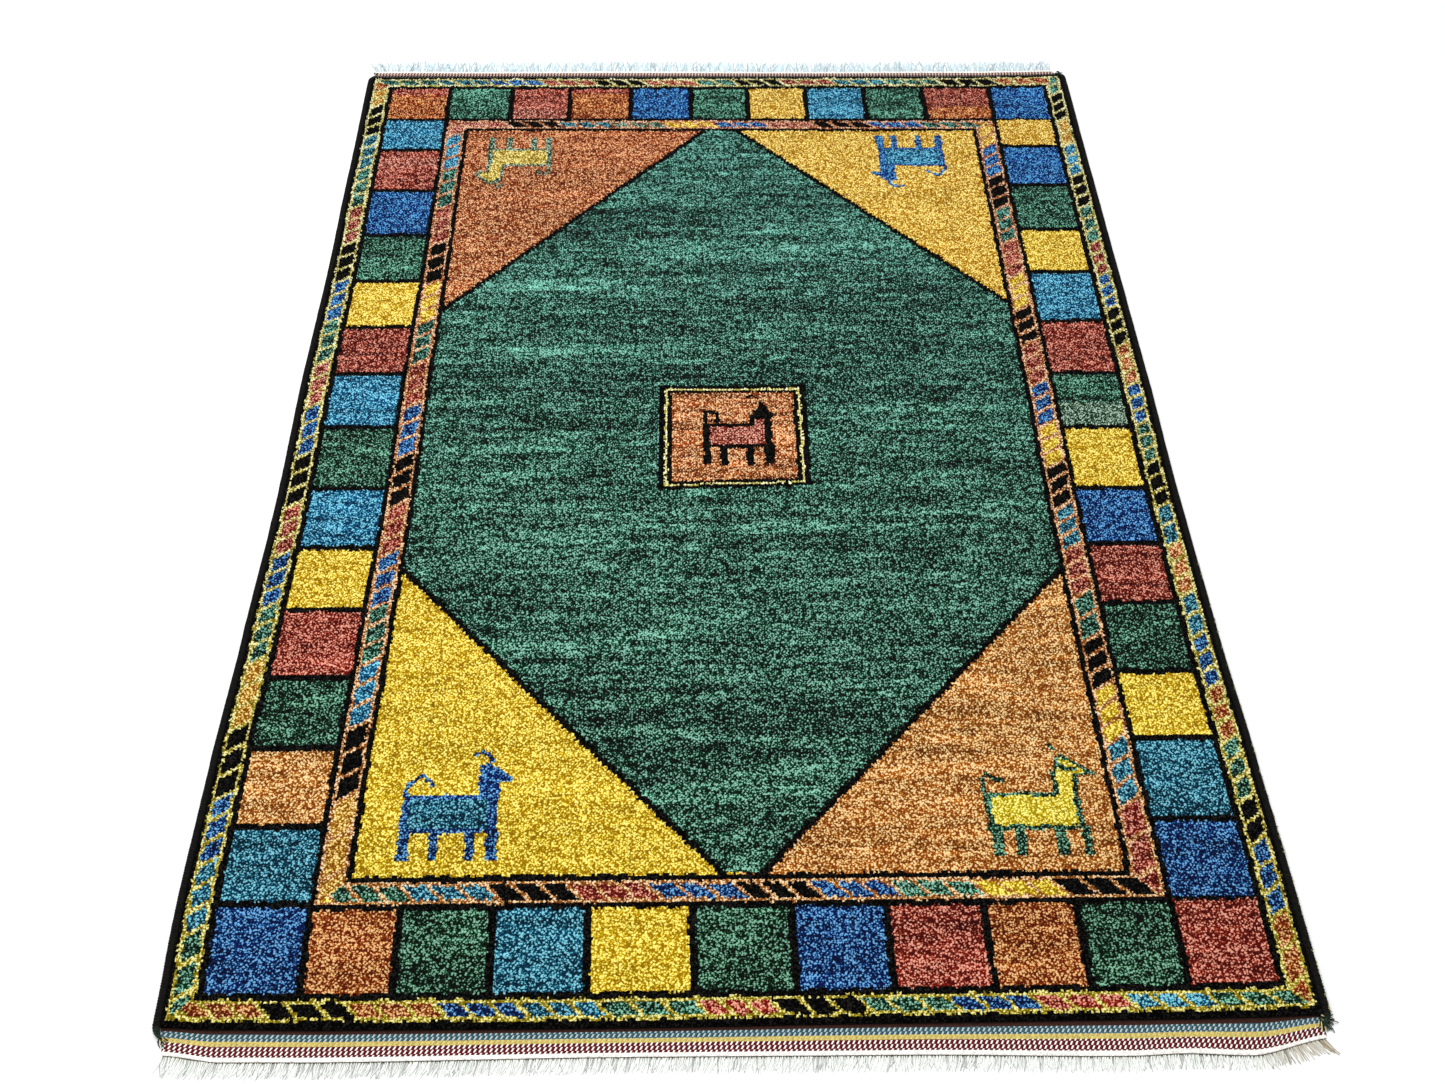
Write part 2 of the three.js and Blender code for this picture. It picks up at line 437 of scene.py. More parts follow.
@dataclass(frozen=True)
class DyedFibre(Finish):
    """Wool or cotton fibre whose colour is laid on the mesh corner by corner.

    The eye sees a matt, slightly glowing fibre: rough, with a soft sheen, and mottled at the
    width of a twisted ply.
    """

    name: str = "dyed_fibre"
    ply_mm: float = 1.3
    ply_detail: float = 2.0
    ply_roughness: float = 0.6
    mottle: float = 0.16
    mottle_range: tuple[float, float] = (0.25, 0.75)
    bump_strength: float = 0.7
    bump_mm: float = 0.35
    roughness: float = 0.9
    specular: float = 0.15
    sheen: float = 0.15
    sheen_roughness: float = 0.5

    def surface(self, tree: bpy.types.NodeTree, place: bpy.types.NodeSocket) -> bpy.types.Node:
        """Adds the fibre's nodes.

        Args:
            tree: The material's node tree.
            place: The place on the piece, in metres.

        Returns:
            The shader.
        """
        dye = add_node(tree, "ShaderNodeVertexColor", {"layer_name": COLOUR_LAYER})
        ply = {
            "Scale": 1 / (self.ply_mm * MM),
            "Detail": self.ply_detail,
            "Roughness": self.ply_roughness,
        }
        plies = add_node(tree, "ShaderNodeTexNoise", ply, {"Vector": place}).outputs["Fac"]
        low, high = self.mottle_range
        spread = {
            "From Min": low,
            "From Max": high,
            "To Min": 1 - self.mottle,
            "To Max": 1 + self.mottle,
        }
        mottle = add_node(tree, "ShaderNodeMapRange", spread, {"Value": plies})
        tinted = add_node(
            tree,
            "ShaderNodeVectorMath",
            {"operation": "SCALE"},
            {0: dye.outputs["Color"], "Scale": mottle.outputs["Result"]},
        )
        relief = {"Strength": self.bump_strength, "Distance": self.bump_mm * MM}
        bump = add_node(tree, "ShaderNodeBump", relief, {"Height": plies})
        gloss = {
            "Roughness": self.roughness,
            "Specular IOR Level": self.specular,
            "Sheen Weight": self.sheen,
            "Sheen Roughness": self.sheen_roughness,
        }
        colour = self.tint(tree, dye, tinted.outputs["Vector"])
        links = {"Base Color": colour, "Normal": bump.outputs["Normal"]}
        return add_node(tree, "ShaderNodeBsdfPrincipled", gloss, links)

    def tint(
        self, tree: bpy.types.NodeTree, dye: bpy.types.Node, colour: bpy.types.NodeSocket
    ) -> bpy.types.NodeSocket:
        """Leaves the fibre's colour as it is; a woven finish lays its pattern over it."""
        return colour


@dataclass(frozen=True)
class KnottedWoolPile(Finish):
    """Cut and washed sheep's wool pile.

    The eye sees thousands of cut yarn ends, each catching the light in its own way, over dark
    gaps. That light is painted: each cell of the pattern is one tuft with a painted highlight in
    the middle and painted shade at its rim, and this painted light bends the dye between a root
    darkened with painted shade and a pale tip with a painted highlight. The dye is in the mesh's
    colours, and their alpha is the painted light there: high on the tuft tips, low in the gaps.
    """

    name: str = "hand_knotted_wool_pile"
    tuft_mm: tuple[float, float, float] = (2.9, 2.4, 2.9)
    scatter: float = 0.85
    # Painted light: the bends and scales below darken the dye into painted shade in the gaps and
    # lift it into a painted highlight on the tips.
    root_shade_bend: float = 2.0
    tip_highlight_bend: float = 0.36
    gap_shade: float = 0.40
    tip_highlight_gain: float = 1.02
    chance: float = 0.40
    dome: float = 0.95
    dome_foot: float = 0.4
    painted_light_lift: float = 0.34
    dark_below: float = 0.10
    pale_above: float = 0.45
    bump_strength: float = 0.6
    bump_mm: float = 0.7
    roughness: float = 0.92
    specular: float = 0.12
    sheen: float = 0.03

    def surface(self, tree: bpy.types.NodeTree, place: bpy.types.NodeSocket) -> bpy.types.Node:
        """Adds the pile's nodes.

        Args:
            tree: The material's node tree.
            place: The place on the piece, in metres.

        Returns:
            The shader.
        """
        dye = add_node(tree, "ShaderNodeVertexColor", {"layer_name": COLOUR_LAYER})
        scale = {"operation": "MULTIPLY", 1: tuple(1 / (size * MM) for size in self.tuft_mm)}
        sized = add_node(tree, "ShaderNodeVectorMath", scale, {0: place}).outputs["Vector"]
        cells = {"Scale": 1.0, "Randomness": self.scatter}
        tufts = add_node(tree, "ShaderNodeTexVoronoi", cells, {"Vector": sized})
        chance = add_node(tree, "ShaderNodeSeparateColor", None, {"Color": tufts.outputs["Color"]})
        # Painted light of each point: painted shade towards each tuft's rim, a random share for
        # each tuft, and the painted light in the mesh's alpha; it also drives the bump.
        dome = {"operation": "MULTIPLY_ADD", 1: -self.dome, 2: self.dome * self.dome_foot}
        light = add_node(tree, MATH, dome, {0: tufts.outputs["Distance"]}).outputs["Value"]
        for weight, source in (
            (self.chance, chance.outputs["Red"]),
            (self.painted_light_lift, dye.outputs["Alpha"]),
        ):
            more = {"operation": "MULTIPLY_ADD", 1: weight}
            light = add_node(tree, MATH, more, {0: source, 2: light}).outputs["Value"]
        ranges = []
        for low, high in ((self.root_shade_bend, self.tip_highlight_bend), (self.gap_shade, self.tip_highlight_gain)):
            spread = {
                "From Min": self.dark_below,
                "From Max": self.pale_above,
                "To Min": low,
                "To Max": high,
            }
            ranges.append(add_node(tree, "ShaderNodeMapRange", spread, {"Value": light}))
        bend, shade = (node.outputs["Result"] for node in ranges)
        # The painted light bends the dye darker into painted shade or paler into a painted
        # highlight, then scales it.
        bent = add_node(
            tree, "ShaderNodeGamma", None, {"Color": dye.outputs["Color"], "Gamma": bend}
        )
        shaded = add_node(
            tree,
            "ShaderNodeVectorMath",
            {"operation": "SCALE"},
            {0: bent.outputs["Color"], "Scale": shade},
        )
        relief = {"Strength": self.bump_strength, "Distance": self.bump_mm * MM}
        bump = add_node(tree, "ShaderNodeBump", relief, {"Height": light})
        gloss = {
            "Roughness": self.roughness,
            "Specular IOR Level": self.specular,
            "Sheen Weight": self.sheen,
        }
        links = {"Base Color": shaded.outputs["Vector"], "Normal": bump.outputs["Normal"]}
        return add_node(tree, "ShaderNodeBsdfPrincipled", gloss, links)


@dataclass(frozen=True)
class BlackWoolPile(KnottedWoolPile):
    """Undyed black wool in the same pile: it swallows light, so its lines read as gaps."""

    name: str = "hand_knotted_black_wool"
    # A narrower range of painted shade and painted highlight than the dyed pile.
    root_shade_bend: float = 1.2
    tip_highlight_bend: float = 0.74
    tip_highlight_gain: float = 0.9
    specular: float = 0.04
    sheen: float = 0.0


@dataclass(frozen=True)
class FlatWovenWool(DyedFibre):
    """Weft-faced wool weave: harder and flatter than the pile, with pale stitches.

    The stitches are short slanted dashes of a pale warp that shows between the wefts, each with
    a dark painted shadow beside it. The real ones are 3.7 mm apart and are drawn at 5.4 mm, so
    that they still show from a standing height. The alpha of the mesh's colours says how much of
    the stitches and their painted shadows shows.
    """

    name: str = "flat_woven_wool"
    ply_mm: float = 0.9
    sheen: float = 0.0
    warp_pair_mm: float = 5.4
    stitch_mm: float = 4.4
    stitch_length: float = 0.84
    stitch_share: float = 0.35
    # From here to the end of each turn of a warp pair, a painted shadow lies beside the stitch.
    shade_from: float = 0.76
    row_shift: float = 0.5
    slant: float = -0.10
    thread: str = "#F6F3EA"
    # Colour of the painted shadow beside each stitch.
    shade: str = "#120A0A"

    def tint(
        self, tree: bpy.types.NodeTree, dye: bpy.types.Node, colour: bpy.types.NodeSocket
    ) -> bpy.types.NodeSocket:
        """Lays the pale stitches, each with a painted shadow beside it, over the dyed wefts.

        Args:
            tree: The material's node tree.
            dye: The node that reads the mesh's colours.
            colour: The wefts' colour.

        Returns:
            The colour with its stitches.
        """
        sheet = add_node(tree, "ShaderNodeUVMap", {"uv_map": WEAVE_SHEET})
        axes = add_node(tree, "ShaderNodeSeparateXYZ", None, {"Vector": sheet.outputs["UV"]})
        across, along = axes.outputs["X"], axes.outputs["Y"]
        sockets = {"across": across, "along": along, "alpha": dye.outputs["Alpha"]}
        # Each step is its name, its operation, what it works on, a number, and what it adds.
        steps = (
            ("row", "MULTIPLY", "along", 1 / (self.stitch_mm * MM), None),
            ("row_number", "FLOOR", "row", 0.0, None),
            ("shifted", "MULTIPLY", "row_number", self.row_shift, None),
            ("leaning", "MULTIPLY_ADD", "along", self.slant / MM, "shifted"),
            ("pair", "MULTIPLY_ADD", "across", 1 / (self.warp_pair_mm * MM), "leaning"),
            ("turn", "FRACT", "pair", 0.0, None),
            ("part", "FRACT", "row", 0.0, None),
            ("in_stitch", "LESS_THAN", "part", self.stitch_length, None),
            ("on_thread", "LESS_THAN", "turn", self.stitch_share, None),
            ("in_shade", "GREATER_THAN", "turn", self.shade_from, None),
        )
        for name, operation, source, number, added in steps:
            links = {0: sockets[source]}
            if added:
                links[2] = sockets[added]
            node = add_node(tree, MATH, {"operation": operation, 1: number}, links)
            sockets[name] = node.outputs["Value"]
        both = {"operation": "MULTIPLY"}
        shown = add_node(tree, MATH, both, {0: sockets["in_stitch"], 1: sockets["alpha"]})
        # Lays the pale stitches, then the painted shadow beside each one.
        for name, tone in (("on_thread", self.thread), ("in_shade", self.shade)):
            share = add_node(tree, MATH, both, {0: sockets[name], 1: shown.outputs["Value"]})
            laid = {"data_type": "RGBA", 7: (*linear(tone), 1.0)}
            links = {0: share.outputs["Value"], 6: colour}
            colour = add_node(tree, "ShaderNodeMix", laid, links).outputs[2]
        return colour


@dataclass(frozen=True)
class OvercastWool(DyedFibre):
    """Undyed black yarn wound closely on side cords: almost no gloss, faint ridges."""

    name: str = "overcast_black_wool"
    ply_mm: float = 0.8
    mottle: float = 0.3
    specular: float = 0.08
    sheen: float = 0.0


@dataclass(frozen=True)
class TwistedCotton(DyedFibre):
    """Twisted cotton warp ends: pale, dry and matt."""

    name: str = "twisted_cotton"
    ply_mm: float = 0.7
    mottle: float = 0.1
    bump_mm: float = 0.2
    sheen: float = 0.1


@dataclass(frozen=True)
class PaintedFloor(Finish):
    """Matt white painted floor: it only carries the soft shadow at the rug's edge."""

    name: str = "matt_floor_paint"
    colour: str = "#F7F7F5"
    roughness: float = 0.75
    grain_mm: float = 60.0
    bump_strength: float = 0.05
    bump_mm: float = 0.2

    def surface(self, tree: bpy.types.NodeTree, place: bpy.types.NodeSocket) -> bpy.types.Node:
        """Adds the paint's nodes.

        Args:
            tree: The material's node tree.
            place: The place on the piece, in metres.

        Returns:
            The shader.
        """
        size = {"Scale": 1 / (self.grain_mm * MM)}
        grain = add_node(tree, "ShaderNodeTexNoise", size, {"Vector": place})
        relief = {"Strength": self.bump_strength, "Distance": self.bump_mm * MM}
        bump = add_node(tree, "ShaderNodeBump", relief, {"Height": grain.outputs["Fac"]})
        coat = {"Base Color": (*linear(self.colour), 1.0), "Roughness": self.roughness}
        return add_node(
            tree, "ShaderNodeBsdfPrincipled", coat, {"Normal": bump.outputs["Normal"]}
        )


# Yarns


class Yarn(IntEnum):
    """The yarns in the weaver's basket.

    Each row is a number, the colour in the near and in the far part, which the pile blends along
    its length, and how streaky the yarn came out.
    """

    BLACK = 0, "#0A0908", "#0A0908", 0.05
    YELLOW = 1, "#ECCC1C", "#E8C028", 0.12
    GREEN = 2, "#22583C", "#185A48", 0.85
    GREEN_DEEP = 3, "#1A4A2C", "#1A5C40", 0.70
    BLUE = 4, "#104888", "#0850A0", 0.34
    TEAL = 5, "#20748C", "#0C5C70", 0.38
    SKY = 6, "#2488AC", "#1C7CA4", 0.38
    ORANGE = 7, "#B46420", "#B05014", 0.30
    RED = 8, "#A84028", "#9C3420", 0.40
    PINK = 9, "#A84C34", "#B0543C", 0.36
    GOLD = 10, "#F8C828", "#E0B430", 0.12
    RUST = 11, "#E8A050", "#AC4C18", 0.30
    MUSTARD = 12, "#D8A430", "#D09C30", 0.10
    APRICOT = 13, "#C88430", "#F8C060", 0.34
    PALE = 14, "#D0C040", "#D4CC80", 0.08
    SALMON = 15, "#D8A058", "#CC8858", 0.12
    TERRACOTTA = 16, "#C47838", "#C47838", 0.60
    GREY_GREEN = 17, "#587C60", "#587C60", 0.10
    STRAW = 18, "#FCE430", "#CCB040", 0.08
    LEMON = 19, "#F0E890", "#F0E890", 0.05

    near: tuple[float, float, float]
    far: tuple[float, float, float]
    streak: float

    def __new__(cls, number: int, near: str, far: str, streak: float) -> Yarn:
        """Makes a yarn that counts as its number and carries its dye in linear light.

        Args:
            number: Its number in the cloth.
            near: Its colour in the near part.
            far: Its colour in the far part.
            streak: How streaky it is.

        Returns:
            The yarn.
        """
        yarn = int.__new__(cls, number)
        yarn._value_ = number
        yarn.near = linear(near)
        yarn.far = linear(far)
        yarn.streak = streak
        return yarn


# The woven chart


class Role(Enum):
    """What a shape of an animal motif is knotted in."""

    OUTLINE = "outline"
    FILL = "fill"


@dataclass(frozen=True)
class Mark:
    """One shape of a motif: a filled polygon, or a line when it has a width."""

    role: Role
    points: Path
    width: float = 0.0


def boxes(role: Role, *corners: Frame) -> tuple[Mark, ...]:
    """Makes rectangular marks, each from two of its corners."""
    return tuple(
        Mark(role, ((x0, y0), (x1, y0), (x1, y1), (x0, y1))) for x0, y0, x1, y1 in corners
    )


# Each goat faces right, with the belly's hind corner as its origin.
BROAD_GOAT: tuple[Mark, ...] = (
    *boxes(
        Role.OUTLINE, (0, 0, 108, 50), (0, -34, 13, 0), (34, -34, 45, 0), (74, -34, 85, 0),
        (97, -34, 110, 0),
    ),
    Mark(
        Role.OUTLINE,
        ((84, 50), (84, 88), (92, 92), (100, 88), (124, 70), (120, 66), (108, 66), (108, 50)),
    ),
    Mark(Role.OUTLINE, ((94, 88), (97, 97), (92, 103), (82, 106), (74, 102)), 5),
    Mark(Role.OUTLINE, ((0, 50), (4, 62), (16, 76), (30, 66), (33, 62)), 4.5),
    *boxes(Role.FILL, (8, 6, 96, 44)),
)
SLIM_GOAT: tuple[Mark, ...] = (
    *boxes(
        Role.OUTLINE, (-1, -3, 108, 46), (2, -36, 14, 0), (28, -36, 41, 0), (73, -36, 86, 0),
        (103, -36, 112, 0), (80, 40, 109, 74),
    ),
    Mark(Role.OUTLINE, ((82, 70), (85, 86), (94, 98), (104, 92), (117, 83), (134, 69), (116, 66))),
    Mark(Role.OUTLINE, ((83, 108), (89, 104)), 5.5),
    Mark(Role.OUTLINE, ((1, 44), (0, 62), (8, 71), (12, 64), (23, 61)), 5.5),
    *boxes(Role.FILL, (8, 3, 101, 40), (86, 36, 103, 74)),
    Mark(Role.FILL, ((88, 76), (92, 90), (103, 86), (117, 76), (119, 71), (104, 70))),
    Mark(Role.OUTLINE, ((91, 80), (98, 76), (108, 76)), 5.5),
)
LEAN_GOAT: tuple[Mark, ...] = (
    *boxes(
        Role.OUTLINE, (-4, -5, 100, 43), (-2, -36, 8, 0), (22, -36, 32, 0), (62, -36, 72, 0),
        (90, -36, 101, 0), (72, 40, 99, 80),
    ),
    Mark(Role.OUTLINE, ((72, 74), (80, 92), (96, 90), (118, 66), (112, 56), (98, 58))),
    Mark(Role.OUTLINE, ((70, 92), (78, 100)), 6),
    Mark(Role.OUTLINE, ((-2, 42), (0, 62), (14, 66), (16, 54)), 5),
    *boxes(Role.FILL, (4, 0, 92, 37), (76, 34, 95, 76)),
    Mark(Role.FILL, ((80, 72), (86, 84), (96, 82), (112, 64), (108, 60), (96, 64))),
)
SMALL_GOAT: tuple[Mark, ...] = (
    *boxes(
        Role.OUTLINE, (-10, -6, 86, 41), (-10, -38, 1, 0), (13, -38, 24, 0), (49, -38, 60, 0),
        (74, -38, 88, 0), (55, 38, 85, 56),
    ),
    Mark(
        Role.OUTLINE,
        ((52, 56), (60, 60), (69, 76), (72, 86), (76, 80), (84, 64), (93, 57), (84, 49), (66, 50)),
    ),
    Mark(Role.OUTLINE, ((53, 92), (60, 95), (67, 90)), 5),
    Mark(Role.OUTLINE, ((-7, 38), (-7, 62), (11, 61), (11, 45), (4, 46)), 6.5),
    *boxes(Role.FILL, (0, 0, 75, 34), (62, 30, 75, 50)),
)


@dataclass(frozen=True)
class Goat:
    """A goat in the pile: its marks, where it stands, which way it faces, and its yarns."""

    marks: tuple[Mark, ...]
    at: tuple[float, float]
    across: float
    upward: float
    outline: Yarn
    fill: Yarn

    def knot(self, cloth: Array, x: Array, y: Array) -> None:
        """Knots the goat into the cloth.

        Args:
            cloth: Yarn of each place, changed in place.
            x: Places across.
            y: Places along.
        """
        own_x = (x - self.at[0]) * self.across
        own_y = (y - self.at[1]) * self.upward
        for mark in self.marks:
            yarn = self.outline if mark.role is Role.OUTLINE else self.fill
            if mark.width:
                cloth[along_line(mark.points, own_x, own_y) < mark.width / 2] = yarn
            else:
                cloth[inside(mark.points, own_x, own_y)] = yarn


Bars = tuple[tuple[float, Yarn], ...]


@dataclass(frozen=True)
class StripedBand:
    """A border band of slanted bars, three to a colour, on a plain ground."""

    ground: Yarn
    start: float
    bars: Bars
    slant: float
    bars_to_a_colour: int = 3
    bar_pitch: float = 29.0
    gap: float = 6.0

    def yarn_at(self, along: Array, over: Array) -> Array:
        """Chooses the yarn in the band.

        Args:
            along: Places along the band.
            over: Places over the band, from its middle.

        Returns:
            Yarn of each place.
        """
        place = along - self.slant * over
        found = np.full(place.shape, self.ground, np.int8)
        begin = self.start
        for end, yarn in self.bars:
            low, high = min(begin, end), max(begin, end)
            count = max(1, round((high - low) / self.bar_pitch))
            pitch = (high - low) / min(count, self.bars_to_a_colour)
            within = (place - low) % pitch
            bar = (place >= low) & (place < high) & (within > self.gap / 2)
            found[bar & (within < pitch - self.gap / 2)] = yarn
            begin = end
        return found


@dataclass(frozen=True)
class Block:
    """A block of the wide border: its yarn, and a second yarn over part of its height."""

    yarn: Yarn
    second: Yarn | None = None
    low: float = 0.0
    high: float = 0.0


def plain(*yarns: Yarn) -> tuple[Block, ...]:
    """Makes a row of blocks that are each knotted in one yarn."""
    return tuple(Block(yarn) for yarn in yarns)


@dataclass(frozen=True)
class Chart:
    """The weaver's plan of the pile, in millimetres before the rug's edges wander."""

    line: float = 8.6
    slope_line: float = 8.2
    slope_step: float = 2.8
    bar_margin: float = 4.0
    black_margin: float = 2.8
    outer_band: Frame = (-592, 587, -856, 849)
    squares: Frame = (-558.0, 554.0, -826.5, 818)
    inner_edge: Frame = (-463.5, 463.5, -733, 731)
    inner_band: Frame = (-456.5, 456.5, -725.5, 724)
    field_edge: Frame = (-427.5, 425.5, -700, 702)
    field: Frame = (-420.5, 418.5, -692.5, 695)
    outer_end: Frame = (-566.0, 562.0, -833.5, 826.5)
    hexagon: Path = (
        (-27, 697),
        (22, 697),
        (419, 257),
        (419, -265),
        (22, -694),
        (-19, -694),
        (-421, -259),
        (-421, 241),
    )
    block_corners: Frame = (-460.0, 460.0, -730.0, 730.0)
    far_span: tuple[float, float] = (730.0, 821.0)
    near_span: tuple[float, float] = (-828.0, -732.0)
    far_cells: tuple[float, ...] = (-460, -354, -255.5, -152.5, -50.5, 45, 144, 245, 345, 460)
    near_cells: tuple[float, ...] = (-460, -365, -266, -165.5, -54, 52, 153.5, 258, 358, 460)
    left_cells: tuple[float, ...] = (
        728, 641, 531, 418, 308, 204, 104, -2, -117, -221, -322, -426, -526, -630, -725,
    )
    right_cells: tuple[float, ...] = (
        730, 652, 546, 432, 328, 215, 103, -6, -121, -220, -318, -424, -520, -628, -730,
    )
    far_blocks: tuple[Block, ...] = (
        Block(Yarn.ORANGE, Yarn.RED, 0.78, 1.0),
        Block(Yarn.GREEN_DEEP),
        Block(Yarn.RED, Yarn.PINK, 0.0, 0.38),
        Block(Yarn.ORANGE, Yarn.RED, 0.80, 1.0),
        Block(Yarn.BLUE),
        Block(Yarn.GREEN_DEEP),
        Block(Yarn.GOLD),
        Block(Yarn.SKY),
        Block(Yarn.GREEN_DEEP),
        Block(Yarn.RED, Yarn.ORANGE, 0.0, 0.36),
        Block(Yarn.BLUE),
    )
    near_blocks: tuple[Block, ...] = plain(
        Yarn.BLUE, Yarn.ORANGE, Yarn.GREEN_DEEP, Yarn.TEAL, Yarn.YELLOW, Yarn.GREEN_DEEP,
        Yarn.BLUE, Yarn.RED, Yarn.ORANGE, Yarn.GREEN_DEEP, Yarn.RED,
    )
    left_blocks: tuple[Block, ...] = (
        Block(Yarn.ORANGE, Yarn.RED, 0.78, 1.0),
        Block(Yarn.SKY),
        Block(Yarn.RED, Yarn.PINK, 0.55, 0.8),
        *plain(
            Yarn.BLUE, Yarn.GREEN_DEEP, Yarn.YELLOW, Yarn.RED, Yarn.SKY, Yarn.GREEN_DEEP,
            Yarn.SKY, Yarn.YELLOW, Yarn.RED, Yarn.GREEN_DEEP, Yarn.APRICOT, Yarn.TEAL, Yarn.BLUE,
        ),
    )
    right_blocks: tuple[Block, ...] = (
        *plain(
            Yarn.BLUE, Yarn.GOLD, Yarn.BLUE, Yarn.GREEN_DEEP, Yarn.YELLOW, Yarn.SKY, Yarn.RED,
        ),
        Block(Yarn.GREEN_DEEP, Yarn.GREY_GREEN, 0.0, 0.42),
        *plain(
            Yarn.YELLOW, Yarn.BLUE, Yarn.RED, Yarn.GREEN_DEEP, Yarn.YELLOW, Yarn.TEAL,
            Yarn.BLUE, Yarn.RED,
        ),
    )
    outer_near: StripedBand = StripedBand(
        Yarn.PALE, -580, (
            (-495, Yarn.ORANGE), (-405, Yarn.BLACK), (-315, Yarn.ORANGE), (-230, Yarn.BLUE),
            (-148, Yarn.TEAL), (-47, Yarn.GREEN), (30, Yarn.RED), (120, Yarn.BLACK),
            (212, Yarn.GREEN), (300, Yarn.BLUE), (395, Yarn.RED), (482, Yarn.TEAL),
            (575, Yarn.GREEN),
        ), -1.0,
    )
    outer_far: StripedBand = StripedBand(
        Yarn.PALE, -600, (
            (-580, Yarn.RUST), (-483, Yarn.GREEN), (-395, Yarn.TEAL), (-305, Yarn.BLUE),
            (-215, Yarn.RED), (-130, Yarn.BLACK), (-40, Yarn.RED), (25, Yarn.GREEN),
            (105, Yarn.BLACK), (195, Yarn.RED), (285, Yarn.TEAL), (380, Yarn.GREEN),
            (475, Yarn.BLACK), (570, Yarn.RUST), (600, Yarn.GREEN),
        ), -1.0,
    )
    outer_left: StripedBand = StripedBand(
        Yarn.PALE, 870, (
            (815, Yarn.RUST), (768, Yarn.MUSTARD), (683, Yarn.BLACK), (590, Yarn.TEAL),
            (490, Yarn.GREEN), (400, Yarn.RED), (310, Yarn.BLACK), (220, Yarn.BLUE),
            (130, Yarn.GREEN), (42, Yarn.PINK), (-55, Yarn.BLUE), (-145, Yarn.BLACK),
            (-230, Yarn.RED), (-315, Yarn.BLUE), (-400, Yarn.GREEN), (-495, Yarn.MUSTARD),
            (-588, Yarn.BLACK), (-672, Yarn.BLUE), (-755, Yarn.TEAL), (-865, Yarn.GREEN),
        ), 0.67,
    )
    outer_right: StripedBand = StripedBand(
        Yarn.PALE, 880, (
            (800, Yarn.GREEN), (727, Yarn.BLACK), (657, Yarn.MUSTARD), (573, Yarn.SKY),
            (492, Yarn.BLACK), (400, Yarn.GREEN), (323, Yarn.RED), (245, Yarn.BLUE),
            (165, Yarn.BLACK), (80, Yarn.RUST), (3, Yarn.BLUE), (-72, Yarn.GREEN),
            (-152, Yarn.BLACK), (-220, Yarn.TEAL), (-302, Yarn.RUST), (-370, Yarn.TEAL),
            (-447, Yarn.BLUE), (-522, Yarn.ORANGE), (-602, Yarn.GREEN), (-657, Yarn.BLACK),
            (-747, Yarn.BLUE), (-865, Yarn.ORANGE),
        ), 0.67,
    )
    inner_near: StripedBand = StripedBand(
        Yarn.SALMON, -470, (
            (-445, Yarn.YELLOW), (-360, Yarn.GREEN), (-268, Yarn.TEAL), (-180, Yarn.BLACK),
            (-95, Yarn.RED), (0, Yarn.BLUE), (80, Yarn.BLACK), (165, Yarn.BLUE),
            (255, Yarn.GREEN), (345, Yarn.YELLOW), (442, Yarn.BLACK), (470, Yarn.RED),
        ), -1.0,
    )
    inner_far: StripedBand = StripedBand(
        Yarn.SALMON, -470, (
            (-357, Yarn.PINK), (-268, Yarn.BLACK), (-182, Yarn.TEAL), (-95, Yarn.GREY_GREEN),
            (-10, Yarn.YELLOW), (75, Yarn.BLUE), (155, Yarn.PINK), (245, Yarn.BLACK),
            (335, Yarn.BLUE), (430, Yarn.GREEN), (470, Yarn.GOLD),
        ), -1.0,
    )
    inner_left: StripedBand = StripedBand(
        Yarn.SALMON, 740, (
            (685, Yarn.PINK), (590, Yarn.SKY), (490, Yarn.GREEN), (400, Yarn.RED),
            (305, Yarn.BLACK), (217, Yarn.YELLOW), (128, Yarn.GREEN), (42, Yarn.RED),
            (-55, Yarn.BLUE), (-145, Yarn.BLACK), (-230, Yarn.RED), (-315, Yarn.BLUE),
            (-402, Yarn.GREEN), (-495, Yarn.SKY), (-592, Yarn.BLACK), (-740, Yarn.MUSTARD),
        ), 0.67,
    )
    inner_right: StripedBand = StripedBand(
        Yarn.SALMON, 740, (
            (653, Yarn.GOLD), (572, Yarn.BLUE), (488, Yarn.BLACK), (402, Yarn.GREEN),
            (320, Yarn.RED), (245, Yarn.YELLOW), (168, Yarn.BLACK), (83, Yarn.RED),
            (0, Yarn.BLUE), (-77, Yarn.YELLOW), (-152, Yarn.BLACK), (-225, Yarn.TEAL),
            (-302, Yarn.RED), (-372, Yarn.GREEN), (-445, Yarn.BLACK), (-522, Yarn.YELLOW),
            (-607, Yarn.TEAL), (-740, Yarn.RED),
        ), 0.67,
    )
    medallion: tuple[tuple[Frame, Yarn], ...] = (
        ((-99, 108, -119, 79), Yarn.BLACK),
        ((-90.5, 99.5, -112, 72), Yarn.LEMON),
        ((-87, 96, -109, 69), Yarn.BLACK),
        ((-80.5, 89, -103.5, 64), Yarn.TERRACOTTA),
    )
    medallion_middle: float = 5.0
    medallion_tilt: float = 0.03
    tilt_from: float = 20.0
    tilt_over: float = 120.0
    goats: tuple[Goat, ...] = (
        Goat(BROAD_GOAT, (-378, -640), 1, 1, Yarn.BLUE, Yarn.TEAL),
        Goat(SLIM_GOAT, (277, -638), 1, 1, Yarn.GREEN_DEEP, Yarn.STRAW),
        Goat(LEAN_GOAT, (-283, 640), -1, -1, Yarn.GREY_GREEN, Yarn.STRAW),
        Goat(BROAD_GOAT, (364, 648), -1, -1, Yarn.BLUE, Yarn.SKY),
        Goat(SMALL_GOAT, (-28, -38), 1, 1, Yarn.BLACK, Yarn.PINK),
    )

